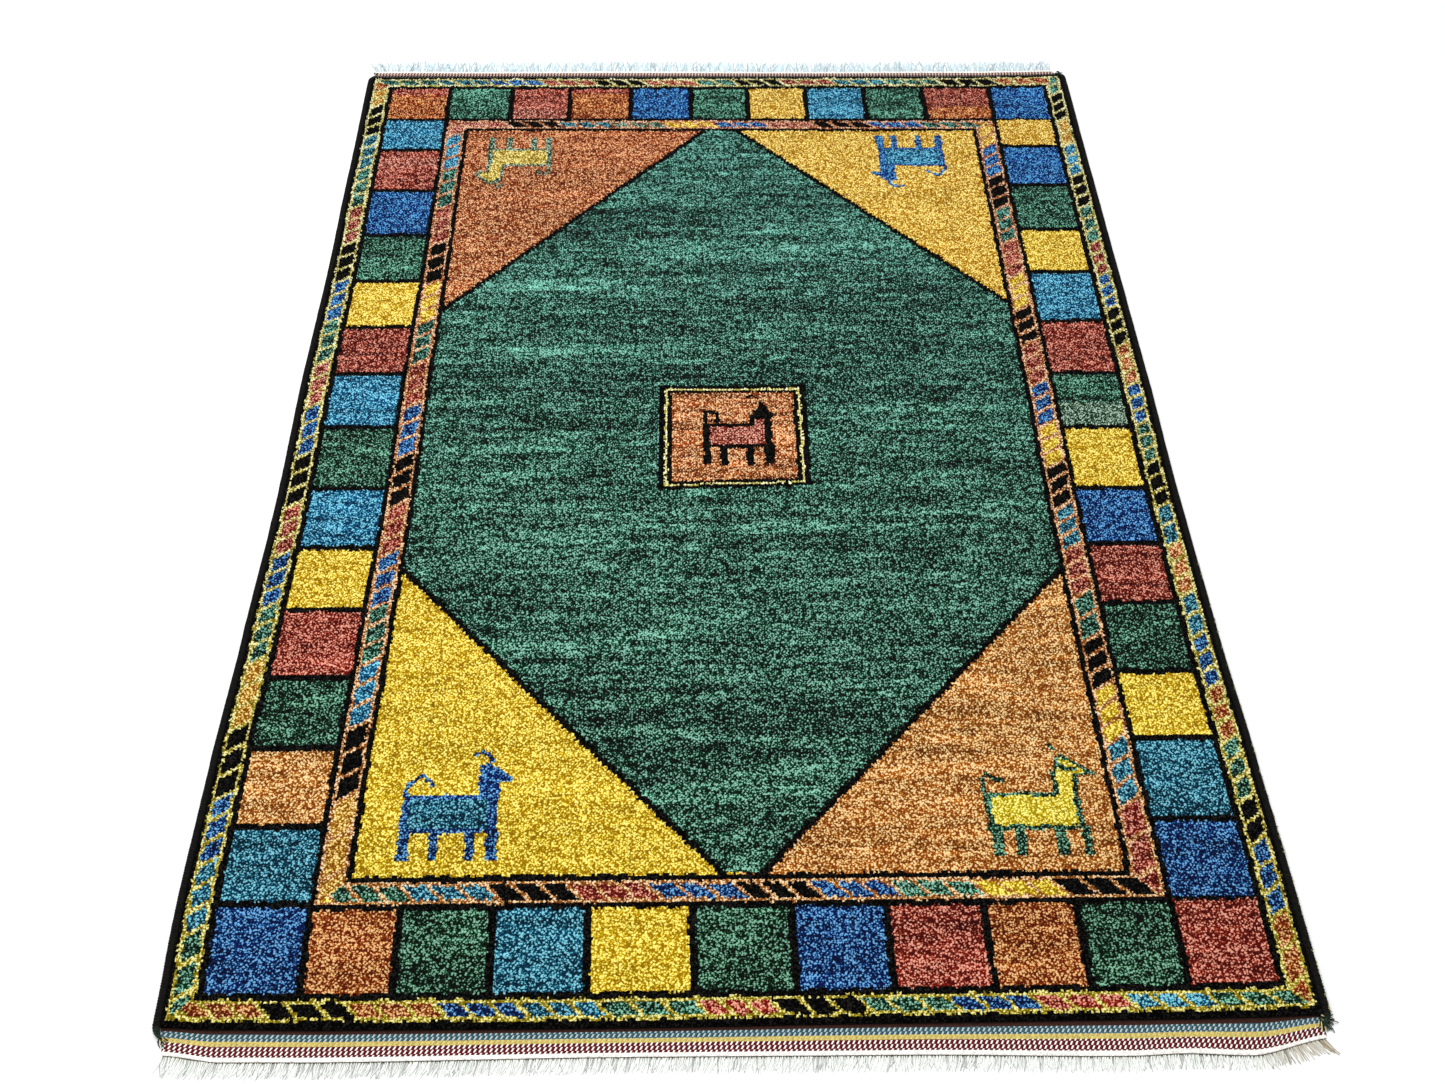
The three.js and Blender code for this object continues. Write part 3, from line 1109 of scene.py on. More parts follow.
    def knot(self, x: Array, y: Array, row: Array, fray: Array) -> Array:
        """Chooses the yarn of every knot.

        Args:
            x: Places across, in chart millimetres.
            y: Places along, in chart millimetres.
            row: Number of each place's row of knots.
            fray: How far two yarns that share a block run into each other.

        Returns:
            Yarn of each place.
        """
        cloth = np.full(x.shape, Yarn.BLACK, np.int8)
        self._knot_band(cloth, x, y, self.outer_band, self.outer_end, "outer")
        self._knot_blocks(cloth, x, y, fray)
        self._knot_band(cloth, x, y, self.inner_band, self.field_edge, "inner")
        self._knot_field(cloth, x, y, row)
        self._knot_medallion(cloth, x, y)
        for goat in self.goats:
            goat.knot(cloth, x, y)
        return cloth

    @staticmethod
    def _within(x: Array, y: Array, frame: Frame) -> Array:
        """Tells which places lie in a frame of left, right, near and far."""
        return (x > frame[0]) & (x < frame[1]) & (y > frame[2]) & (y < frame[3])

    def _knot_band(
        self, cloth: Array, x: Array, y: Array, outside: Frame, inner: Frame, name: str
    ) -> None:
        """Knots the four striped bands between two frames, mitred at the corners.

        Args:
            cloth: Yarn of each place, changed in place.
            x: Places across.
            y: Places along.
            outside: The frame that the bands fill.
            inner: The frame that they leave open.
            name: Which set of bands it is.
        """
        ring = self._within(x, y, outside) & ~self._within(x, y, inner)
        sides = ("left", "right", "near", "far")
        over, along = (x, x, y, y), (y, y, x, x)
        gaps = [
            (place - outer_edge) / (inner_edge - outer_edge)
            for place, outer_edge, inner_edge in zip(over, outside, inner)
        ]
        nearest = np.minimum.reduce(gaps)
        for number, side in enumerate(sides):
            band = getattr(self, f"{name}_{side}")
            part = ring & (gaps[number] <= nearest)
            middle = (outside[number] + inner[number]) / 2
            from_middle = over[number][part] - middle
            yarn = band.yarn_at(along[number][part], from_middle)
            margin = np.where(yarn == Yarn.BLACK, self.black_margin, self.bar_margin)
            yarn[np.abs(from_middle) > abs(middle - outside[number]) - margin] = band.ground
            cloth[part] = yarn

    def _knot_blocks(self, cloth: Array, x: Array, y: Array, fray: Array) -> None:
        """Knots the wide border of blocks, with black lines between them."""
        ring = self._within(x, y, self.squares) & ~self._within(x, y, self.inner_edge)
        left, right, near, far = self.block_corners
        top, bottom = y > far, y < near
        upright = ring & ~top & ~bottom
        rows = (
            (self.far_cells, self.far_blocks, ring & top, x, self.far_span),
            (self.near_cells, self.near_blocks, ring & bottom, x, self.near_span),
            (self.left_cells, self.left_blocks, upright & (x < left), y, None),
            (self.right_cells, self.right_blocks, upright & (x > right), y, None),
        )
        for cells, blocks, part, along, span in rows:
            edges = (-BEYOND, *cells, BEYOND) if span else (BEYOND, *cells, -BEYOND)
            for block, begin, end in zip(blocks, edges, edges[1:]):
                low, high = min(begin, end), max(begin, end)
                here = part & (along > low + self.line / 2) & (along < high - self.line / 2)
                cloth[here] = block.yarn
                if block.second is not None:
                    base, rise = (span[0], span[1] - span[0]) if span else (low, high - low)
                    share = (y + fray - base) / rise
                    cloth[here & (share > block.low) & (share < block.high)] = block.second

    def _knot_field(self, cloth: Array, x: Array, y: Array, row: Array) -> None:
        """Knots the long hexagon and the four corner pieces, with a stepped black outline."""
        field_part = self._within(x, y, self.field)
        corners = {
            (False, True): Yarn.RUST,
            (True, True): Yarn.GOLD,
            (False, False): Yarn.YELLOW,
            (True, False): Yarn.APRICOT,
        }
        for (right, far), yarn in corners.items():
            cloth[field_part & ((x > 0) == right) & ((y > 0) == far)] = yarn
        stepped = y - (row % 2) * self.slope_step
        cloth[field_part & inside(self.hexagon, x, stepped)] = Yarn.GREEN
        turned = (*self.hexagon[1:], self.hexagon[0])
        for corner in range(0, len(turned), 2):
            slope = turned[corner : corner + 2]
            cloth[field_part & (along_line(slope, x, stepped) < self.slope_line / 2)] = Yarn.BLACK

    def _knot_medallion(self, cloth: Array, x: Array, y: Array) -> None:
        """Knots the small square in the middle: black, pale, black, then its ground."""
        near = np.clip((self.tilt_from - y) / self.tilt_over, 0, 1)
        level = y - self.medallion_tilt * (x - self.medallion_middle) * near
        for frame, yarn in self.medallion:
            cloth[self._within(x, level, frame)] = yarn


# The rug


@dataclass(frozen=True)
class Outline:
    """The rug's uneven outline, which repeats the tables of the part's source."""

    sides: tuple[tuple[float, ...], ...] = (
        (-900, -579, 583), (-882, -589, 592), (-866, -594, 594), (-700, -598.5, 593.5),
        (-540, -597.5, 592), (-380, -594, 589), (-140, -590.5, 588.5), (100, -593.5, 592),
        (340, -592.5, 593), (580, -595.5, 594.5), (866, -598.5, 596.5), (890, -600, 584),
    )
    ends: tuple[tuple[float, ...], ...] = (
        (-600, -889, -859, 856, 882, -911, 919), (-540, -897, -862, 856, 883, -914, 922),
        (-430, -898, -864, 857, 882, -915, 921), (-150, -896, -865, 857, 884, -913, 924),
        (150, -897, -863, 860, 883, -914, 922), (395, -901, -862, 861, 885, -917, 925),
        (450, -899, -862, 862, 885, -915, 924), (520, -902, -861, 865, 887, -917, 925),
        (600, -884, -859, 869, 889, -901, 926),
    )
    rim: tuple[tuple[float, float], ...] = ((0, 0.72), (2, 0.92), (6, 1.0), (20, 1.0))
    chart_left: float = -596.0
    chart_right: float = 592.0
    chart_near: float = -863.0
    chart_far: float = 857.0
    near_bend_from: float = -600.0
    far_bend_from: float = 600.0

    def left(self, along: Array) -> Array:
        """Gives the left edge at each place along."""
        return ease(self.sides, 1, along)

    def right(self, along: Array) -> Array:
        """Gives the right edge at each place along."""
        return ease(self.sides, 2, along)

    def end(self, which: int, across: Array) -> Array:
        """Gives one of the lines at the two ends at each place across."""
        return ease(self.ends, which, across)

    def bend(self, across: Array, along: Array) -> Array:
        """Turns chart places along into true ones, where the ends bow.

        Args:
            across: Chart places across.
            along: Chart places along.

        Returns:
            True places along.
        """
        near_reach = self.near_bend_from - self.chart_near
        far_reach = self.chart_far - self.far_bend_from
        near = np.clip((self.near_bend_from - along) / near_reach, 0, 1)
        far = np.clip((along - self.far_bend_from) / far_reach, 0, 1)
        near_shift = self.end(2, across) - self.chart_near
        far_shift = self.end(3, across) - self.chart_far
        return along + near_shift * near**2 + far_shift * far**2

    def spread(self, across: Array, along: Array) -> Array:
        """Turns chart places across into true ones, where the sides wander.

        Args:
            across: Chart places across.
            along: True places along.

        Returns:
            True places across.
        """
        share = (across - self.chart_left) / (self.chart_right - self.chart_left)
        left = self.left(along)
        return left + (self.right(along) - left) * share


@dataclass
class Rug:
    """What every piece of the rug shares: the outline, and its place in the frame of the CAD."""

    outline: Outline = field(default_factory=Outline)
    chart: Chart = field(default_factory=Chart)
    body: str = "root"
    shift: Array = field(default_factory=lambda: np.zeros(3))

    def settle(self) -> None:
        """Finds how far the part's source moved the rug to put its middle at the origin."""
        corner = np.array(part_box("rug_cloth")[1], float)
        right = max(row[2] for row in self.outline.sides) * MM
        far = max(row[4] for row in self.outline.ends) * MM
        self.shift = np.array([corner[0] - right, corner[1] - far, 0.0])
        LOG.info("the source moved the rug by %.2f, %.2f mm", *(self.shift[:2] / MM))

    def place(self, x: Array, y: Array, z: Array) -> Array:
        """Turns millimetres from the pile's middle into metres in the frame of the CAD."""
        return np.stack(np.broadcast_arrays(x, y, z), -1) * MM + self.shift

    def lay(
        self, piece: bpy.types.Object, finishes: tuple[Finish, ...], slot: str, *nodes: str
    ) -> bpy.types.Object:
        """Dresses a piece and ties it to the frame.

        Args:
            piece: The new piece.
            finishes: Its finishes, in the order of its faces' kinds.
            slot: A material slot's name; not used.
            nodes: The CAD nodes that it stands for.

        Returns:
            The piece.
        """
        for finish in finishes:
            known = bpy.data.materials.get(finish.name)
            piece.data.materials.append(known or finish.material())
        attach(piece, self.body)
        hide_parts(*nodes)
        LOG.info("%s: %d faces", piece.name, len(piece.data.polygons))
        return piece


@dataclass
class KnottedPile:
    """The knotted pile: a tuft tip at every second point, in five strips of one surface."""

    rug: Rug
    strips: int = 5
    columns: int = 530
    rows: int = 600
    height: float = 11.0
    floor_of_pile: float = 2.8
    depth: float = 3.0
    lump: float = 0.35
    side_jitter: float = 0.6
    edge_jitter: float = 0.9
    # Each point's light: a tip gets a painted highlight and stands high, a gap gets painted shade
    # and sits low.
    tip_light: float = 0.66
    tip_spread: float = 0.20
    gap_light: float = 0.16
    gap_spread: float = 0.10
    clumps: tuple[tuple[float, float, float, float], ...] = (
        (8, 5, 0.02, 0.03), (26, 3.4, 0.05, 0.06),
    )
    # Streaks and paler dyes lift the painted light of their faces.
    streak_painted_light: float = 0.26
    streak_tone: float = 0.55
    middle_dye: float = 0.20
    pale_painted_light: float = 0.24
    dye_limit: float = 0.9
    light_limit: float = 1.3
    lump_cells: tuple[tuple[float, float, float], ...] = ((22, 17, 0.6), (7, 6, 0.5))
    wander: float = 1.3
    wander_cell: tuple[float, float] = (11, 8)
    fray: float = 5.0
    fray_cell: tuple[float, float] = (45, 4)
    streak_cells: tuple[tuple[float, float, float], ...] = (
        (60, 5.2, 0.75), (170, 9, 0.7), (18, 3.4, 1.0), (420, 46, 0.6),
    )
    pale_streaks: tuple[tuple[float, float, float, float, float], ...] = (
        (250, 38, 190, 16, 0.60), (-250, 292, 150, 10, 0.50), (120, 300, 260, 8, 0.24),
        (-250, -205, 160, 22, 0.40), (60, -205, 200, 20, 0.30), (0, 430, 230, 14, 0.24),
        (270, 170, 170, 26, -0.44), (120, 60, 300, 10, -0.16), (-200, 120, 200, 24, -0.16),
    )

    # Places on the bake sheet: the surface in parts side by side, then the edges, then the foot.
    sheet_parts: int = 3
    part_margin: float = 0.02
    part_height: float = 0.78
    edge_rows: tuple[tuple[float, float], ...] = ((0.86, 0.89), (0.82, 0.85))
    underside_at: tuple[float, float] = (0.5, 0.945)
    underside_size: tuple[float, float] = (0.98, 0.08)

    def build(self) -> list[bpy.types.Object]:
        """Builds the strips.

        Returns:
            The strips, from left to right.
        """
        rng = np.random.default_rng(SEED)
        outline = self.rug.outline
        u = np.linspace(outline.chart_left, outline.chart_right, self.columns + 1)
        v = np.linspace(outline.chart_near, outline.chart_far, self.rows + 1)
        across, along = np.meshgrid(u, v, indexing="ij")
        light = self._light(rng, across, along)
        points = self._points(rng, across, along, light)
        colours, yarn = self._colours(rng, across, along, light)
        width = self.columns // self.strips
        return [
            self._strip(number, points, colours, yarn, number * width, (number + 1) * width)
            for number in range(self.strips)
        ]

    def _light(self, rng: np.random.Generator, across: Array, along: Array) -> Array:
        """Gives each point its painted light and its height, from a gap in painted shade, 0, to a
        tuft tip with a painted highlight, 1.

        Args:
            rng: The seeded random source.
            across: Chart places across.
            along: Chart places along.

        Returns:
            One value for each point: every second point is a tip.
        """
        i, j = grid(*across.shape)
        far = (along - along.min()) / (along.max() - along.min())
        # Clumps of tufts stand higher or lower and carry more or less painted light.
        clumps = sum(
            drift(rng, across, along, wide, tall) * (near_gain + (far_gain - near_gain) * far)
            for wide, tall, near_gain, far_gain in self.clumps
        )
        tip = rng.normal(self.tip_light, self.tip_spread, across.shape)
        gap = rng.normal(self.gap_light, self.gap_spread, across.shape)
        return np.clip(np.where((i + j) % 2 == 0, tip, gap) + clumps, 0, 1)

    def _points(
        self, rng: np.random.Generator, across: Array, along: Array, light: Array
    ) -> Array:
        """Places the points of the whole pile.

        Args:
            rng: The seeded random source.
            across: Chart places across.
            along: Chart places along.
            light: Each point's place between gap and tip.

        Returns:
            The points in metres.
        """
        outline = self.rug.outline
        loose = np.zeros(across.shape)
        loose[1:-1, 1:-1] = 1
        side = across + rng.uniform(-1, 1, across.shape) * self.side_jitter * loose
        length = along + rng.uniform(-1, 1, across.shape) * self.side_jitter * loose
        y = outline.bend(side, length)
        x = outline.spread(side, y)
        inset = np.minimum.reduce([
            across - outline.chart_left,
            outline.chart_right - across,
            along - outline.chart_near,
            outline.chart_far - along,
        ])
        rise = ease(outline.rim, 1, inset)
        lumps = sum(
            drift(rng, across, along, wide, tall) * share for wide, tall, share in self.lump_cells
        )
        z = self.height * rise - (1 - light) * self.depth + lumps * self.lump
        return self.rug.place(x, y, z)

    def _colours(
        self, rng: np.random.Generator, across: Array, along: Array, light: Array
    ) -> tuple[Array, Array]:
        """Colours the four corners of every face of the pile.

        Args:
            rng: The seeded random source.
            across: Chart places across.
            along: Chart places along.
            light: Each point's place between gap and tip.

        Returns:
            Linear colours with their light by column, row and corner, and each face's yarn.
        """
        x = (across[:-1, :-1] + across[1:, 1:]) / 2
        y = (along[:-1, :-1] + along[1:, 1:]) / 2
        row = np.broadcast_to(np.arange(self.rows), x.shape)
        ragged_x = x + rng.uniform(-1, 1, x.shape) * self.edge_jitter
        ragged_y = y + rng.uniform(-1, 1, x.shape) * self.edge_jitter
        ragged_x += drift(rng, x, y, *self.wander_cell) * self.wander
        ragged_y += drift(rng, x, y, *self.wander_cell) * self.wander
        fray = drift(rng, x, y, *self.fray_cell) * self.fray
        yarn = self.rug.chart.knot(ragged_x, ragged_y, row, fray)
        near = np.array([k.near for k in Yarn])[yarn]
        far = np.array([k.far for k in Yarn])[yarn]
        outline = self.rug.outline
        # Each colour blends from its near to its far value along the rug's length.
        share = (y - outline.chart_near) / (outline.chart_far - outline.chart_near)
        body = near + (far - near) * share[..., None]
        tone = sum(
            drift(rng, x, y, wide, tall) * strength for wide, tall, strength in self.streak_cells
        )
        for mid_x, mid_y, half_x, half_y, gain in self.pale_streaks:
            fade = np.clip(1 - ((x - mid_x) / half_x) ** 2, 0, 1)
            fade = fade * np.clip(1 - ((y - mid_y) / half_y) ** 2, 0, 1)
            tone = tone + np.where(yarn == Yarn.GREEN, fade * gain / Yarn.GREEN.streak, 0)
        tone = tone * np.array([k.streak for k in Yarn])[yarn]
        # Streaks change a yarn's tone; with the paler dyes they also lift its painted light, so
        # its tips carry more painted highlight.
        paler = body.mean(-1) - self.middle_dye
        painted_light_lift = (tone * self.streak_painted_light + paler * self.pale_painted_light)[..., None]
        tone = np.exp(tone * self.streak_tone)
        corners = np.stack([light[:-1, :-1], light[1:, :-1], light[1:, 1:], light[:-1, 1:]], -1)
        body = np.clip(body * tone[..., None], 0, self.dye_limit)
        body = np.broadcast_to(body[:, :, None], (*corners.shape, 3))
        corners = np.clip(corners + painted_light_lift, 0, self.light_limit)
        return np.concatenate([body, corners[..., None]], -1), yarn

    def _strip(
        self, number: int, points: Array, colours: Array, yarn: Array, begin: int, end: int
    ) -> bpy.types.Object:
        """Cuts one strip out of the pile and closes it below.

        Args:
            number: Which strip it is.
            points: Points of the whole pile.
            colours: Colours of the whole pile.
            yarn: Yarn of each face of the whole pile.
            begin: Its first column.
            end: Its last column.

        Returns:
            The strip.
        """
        shape = Shape()
        own = points[begin : end + 1]
        columns, rows = own.shape[0] - 1, own.shape[1] - 1
        shape.add_points(own)
        corners, faces = grid_faces(columns, rows)
        length = rows // self.sheet_parts
        part = np.minimum(corners[0][1] // length, self.sheet_parts - 1)
        span = 1 - 2 * self.part_margin
        places = [
            (
                (part + self.part_margin + span * a / columns) / self.sheet_parts,
                SHEET_MARGIN + self.part_height * (b - part * length) / length,
            )
            for a, b in corners
        ]
        sheet = np.stack([np.stack(place, -1) for place in places], -2)
        black = (yarn[begin:end].ravel() == Yarn.BLACK).astype(int)
        shape.add_faces(faces, colours[begin:end].reshape(-1, 4, 4), {BAKE_SHEET: sheet}, black)
        self._close_below(shape, own, columns, rows)
        piece = shape.make(f"knotted_pile_{number + 1}")
        return self.rug.lay(piece, (KnottedWoolPile(), BlackWoolPile()), "pile_wool", "rug_cloth")

    def _close_below(self, shape: Shape, own: Array, columns: int, rows: int) -> None:
        """Adds a strip's standing edges and its flat underside.

        Args:
            shape: The strip so far.
            own: Its points.
            columns: Its columns of faces.
            rows: Its rows of faces.
        """
        ring = grid_rim(columns, rows)
        rim = own.reshape(-1, 3)[ring]
        foot = rim.copy()
        foot[:, 2] = self.floor_of_pile * MM
        k = np.arange(len(ring))
        levels = (ring, shape.add_points((rim + foot) / 2) + k, shape.add_points(foot) + k)
        centre = shape.add_points(foot.mean(0)[None])
        size = np.array(self.underside_size)
        spots = np.stack(grid(columns + 1, rows + 1), -1).reshape(-1, 2)[ring] / (columns, rows)
        under = fan_sheet(spots * size + self.underside_at - size / 2, self.underside_at)
        sheets = [edge_sheet(len(ring), low, high) for low, high in self.edge_rows]
        places = [{BAKE_SHEET: sheet} for sheet in (*sheets, under)]
        shape.close_below(levels, centre, np.array(Yarn.BLACK.near), places, 1)


@dataclass
class FlatWeave:
    """The cloth under the pile, whose two ends show as bands of flat weave."""

    rug: Rug
    columns: int = 700
    base: float = 2.4
    rib: float = 0.35
    cord_rise: float = 0.9
    cord_profile: tuple[float, ...] = (0.5, 1.0, 0.6)
    edge_share: float = 0.55
    unevenness: float = 0.12
    shade_spread: float = 0.14
    shade_limits: tuple[float, float] = (0.6, 1.4)
    end_rows: int = 33
    hidden_rows: int = 6
    tuck: float = 6.0
    flat_size: tuple[float, float] = (1.19, 1.79)
    cream: str = "#EDEBDF"
    peat: str = "#1A1210"
    # The first row of each end, the cord's outer slope down to the floor, is painted grey; at the
    # near end this is a painted shadow line at the cord's foot.
    near_bands: tuple[tuple[int, str, float], ...] = (
        (1, "#5B574C", 0.0), (5, "#F4F1E8", 0.0), (14, "#6A0C1A", 1.0), (18, "#C9B45A", 0.2),
        (24, "#2F5C68", 0.55), (28, "#3A211A", 0.0),
    )
    far_bands: tuple[tuple[int, str, float], ...] = (
        (1, "#8A8F90", 0.0), (5, "#F0EEE6", 0.0), (13, "#7A3E28", 0.75), (18, "#2A1712", 0.2),
    )

    # Places on the bake sheet: each end in two halves, then the hidden rows, edge and foot.
    near_place: float = 0.02
    far_place: float = 0.18
    half_step: float = 0.08
    end_height: float = 0.065
    hidden_place: float = 0.36
    hidden_height: float = 0.3
    edge_row: tuple[float, float] = (0.70, 0.72)
    underside_at: tuple[float, float] = (0.5, 0.87)
    underside_reach: float = 0.11

    def build(self, pile: list[bpy.types.Object]) -> bpy.types.Object:
        """Args:
            pile: The strips of pile knotted on it; not used.

        Returns:
            The cloth.
        """
        rng = np.random.default_rng(SEED + 1)
        outline = self.rug.outline
        u = np.linspace(outline.chart_left, outline.chart_right, self.columns + 1)
        near_edge, near_pile, far_pile, far_edge = (
            (outline.end(line, u) + tuck)[:, None]
            for line, tuck in ((1, 0.0), (2, self.tuck), (3, -self.tuck), (4, 0.0))
        )
        share = np.linspace(0, 1, self.end_rows)
        hidden = np.linspace(0, 1, self.hidden_rows + 2)[1:-1]
        parts = (
            (near_edge, near_pile, share),
            (near_pile, far_pile, hidden),
            (far_pile, far_edge, share),
        )
        y = np.concatenate([begin + (end - begin) * part for begin, end, part in parts], 1)
        x = outline.spread(np.broadcast_to(u[:, None], y.shape), y)
        i, j = grid(*y.shape)
        rib = np.where((i + j) % 2 == 0, self.rib, 0) + rng.uniform(0, self.unevenness, y.shape)
        z = self.base + rib
        cord = self.cord_rise * np.array(self.cord_profile)
        z[:, 1:4] += cord
        z[:, -4:-1] += cord[::-1]
        z[:, 0] = z[:, -1] = self.base * self.edge_share
        top = self.rug.place(x, y, z)
        colours = self._bands(rng, y)
        woven = np.stack([x, np.minimum(y - near_edge, far_edge - y)], -1) * MM
        shape = Shape()
        shape.add_points(top)
        rows = y.shape[1] - 1
        corners, faces = grid_faces(self.columns, rows)
        sheets = {
            BAKE_SHEET: self._flatten(*corners[0], rows, corners),
            WEAVE_SHEET: np.stack([woven[p, q] for p, q in corners], -2),
        }
        shape.add_faces(faces, colours.reshape(-1, 1, 4), sheets)
        ring = grid_rim(self.columns, rows)
        foot = top.reshape(-1, 3)[ring]
        foot[:, 2] = FOOT * MM
        k = np.arange(len(ring))
        lower = shape.add_points(foot) + k
        centre = shape.add_points(foot.mean(0)[None])
        angle = 2 * math.pi * k / len(ring)
        rim = np.stack([np.cos(angle), np.sin(angle)], 1) * self.underside_reach
        below = (
            edge_sheet(len(ring), *self.edge_row),
            fan_sheet(rim + self.underside_at, self.underside_at),
        )
        places = [{BAKE_SHEET: sheet, WEAVE_SHEET: sheet * 0} for sheet in below]
        cream = np.array((*linear(self.cream), 0.0))
        shape.close_below((ring, lower), centre, cream, places)
        piece = shape.make("rug_foundation")
        self.rug.lay(piece, (FlatWovenWool(),), "pile_wool", "rug_cloth")
        return piece

    def _flatten(self, i: Array, j: Array, rows: int, corners: list[Any]) -> Array:
        """Lays the faces of the top on the bake sheet, with most room for the two ends.

        Args:
            i: Column of each face.
            j: Row of each face.
            rows: How many rows of faces there are.
            corners: Column and row of each corner of each face.

        Returns:
            Places by column, row and corner.
        """
        half = self.columns / 2
        right = i >= half
        end = self.end_rows - 1
        places = []
        for p, q in corners:
            across = np.where(right, p - half, p) / half
            near, far = (
                place + self.half_step * right + self.end_height * (q - first) / end
                for place, first in ((self.near_place, 0), (self.far_place, rows - end))
            )
            hidden = self.hidden_place + self.hidden_height * (q - end) / max(1, rows - 2 * end)
            v = np.where(j < end, near, np.where(j >= rows - end, far, hidden))
            u = np.where((j < end) | (j >= rows - end), across, p / self.columns)
            places.append(np.stack([SHEET_MARGIN + SHEET_SPAN * u, v], -1))
        return np.stack(places, -2)

    def _bands(self, rng: np.random.Generator, y: Array) -> Array:
        """Colours the faces of the cloth by the bands of its ends.

        Args:
            rng: The seeded random source.
            y: Places along of its points.

        Returns:
            Linear colours by column and row.
        """
        columns, rows = y.shape[0] - 1, y.shape[1] - 1
        colours = np.empty((columns, rows, 4))
        colours[:] = (*linear(self.peat), 0.0)
        bands = (
            (self.near_bands, slice(None, None, 1)),
            (self.far_bands, slice(None, None, -1)),
        )
        for table, order in bands:
            end = colours[:, order]
            begin = 0
            for last, tone, stitches in table:
                end[:, begin:last] = (*linear(tone), stitches)
                begin = last
        tone = 1 + rng.normal(0, self.shade_spread, (columns, rows))
        colours[..., :3] *= np.clip(tone, *self.shade_limits)[..., None]
        return colours


class Side(Enum):
    """The two sides of the rug."""

    LEFT = -1
    RIGHT = 1


@dataclass(frozen=True)
class LooseEnds:
    """A bunch of yarn ends left hanging out at a corner."""

    at: tuple[float, float]
    heading: float
    spread: float
    length: float
    colours: tuple[str, ...]
    count: int
    width: float = 7.0
    thick: float = 0.75
    stations: int = 6
    sides: int = 5
    curl: float = 0.35
    lengths: tuple[float, float] = (0.55, 1.0)
    rest_height: float = 1.0
    root_heights: tuple[float, float] = (2.0, 4.5)
    arch: float = 1.2
    thinning: float = 0.45
    shades: tuple[float, float] = (0.7, 1.15)

    def add_to(self, shape: Shape, rug: Rug, rng: np.random.Generator) -> None:
        """Adds the bunch to a piece.

        Args:
            shape: The piece so far.
            rug: The rug.
            rng: The seeded random source.
        """
        share = np.linspace(0, 1, self.stations)
        for number in range(self.count):
            turn = self.heading + self.spread * rng.uniform(-1, 1)
            curl = rng.normal(0, self.curl)
            length = self.length * rng.uniform(*self.lengths)
            step = turn + curl * share
            x = self.at[0] + rng.uniform(-0.5, 0.5) * self.width
            y = self.at[1] + rng.uniform(-0.5, 0.5) * self.width
            x = x + np.cumsum(np.cos(step)) * length / len(share)
            y = y + np.cumsum(np.sin(step)) * length / len(share)
            root = rng.uniform(*self.root_heights)
            z = self.rest_height + (1 - share) * root + np.sin(share * math.pi) * self.arch
            radii = self.thick * (1 - self.thinning * share) * MM
            tint = np.array(linear(self.colours[number % len(self.colours)]))
            shade = rng.uniform(*self.shades)
            shape.add_tube(rug.place(x, y, z), radii, self.sides, tint * shade)


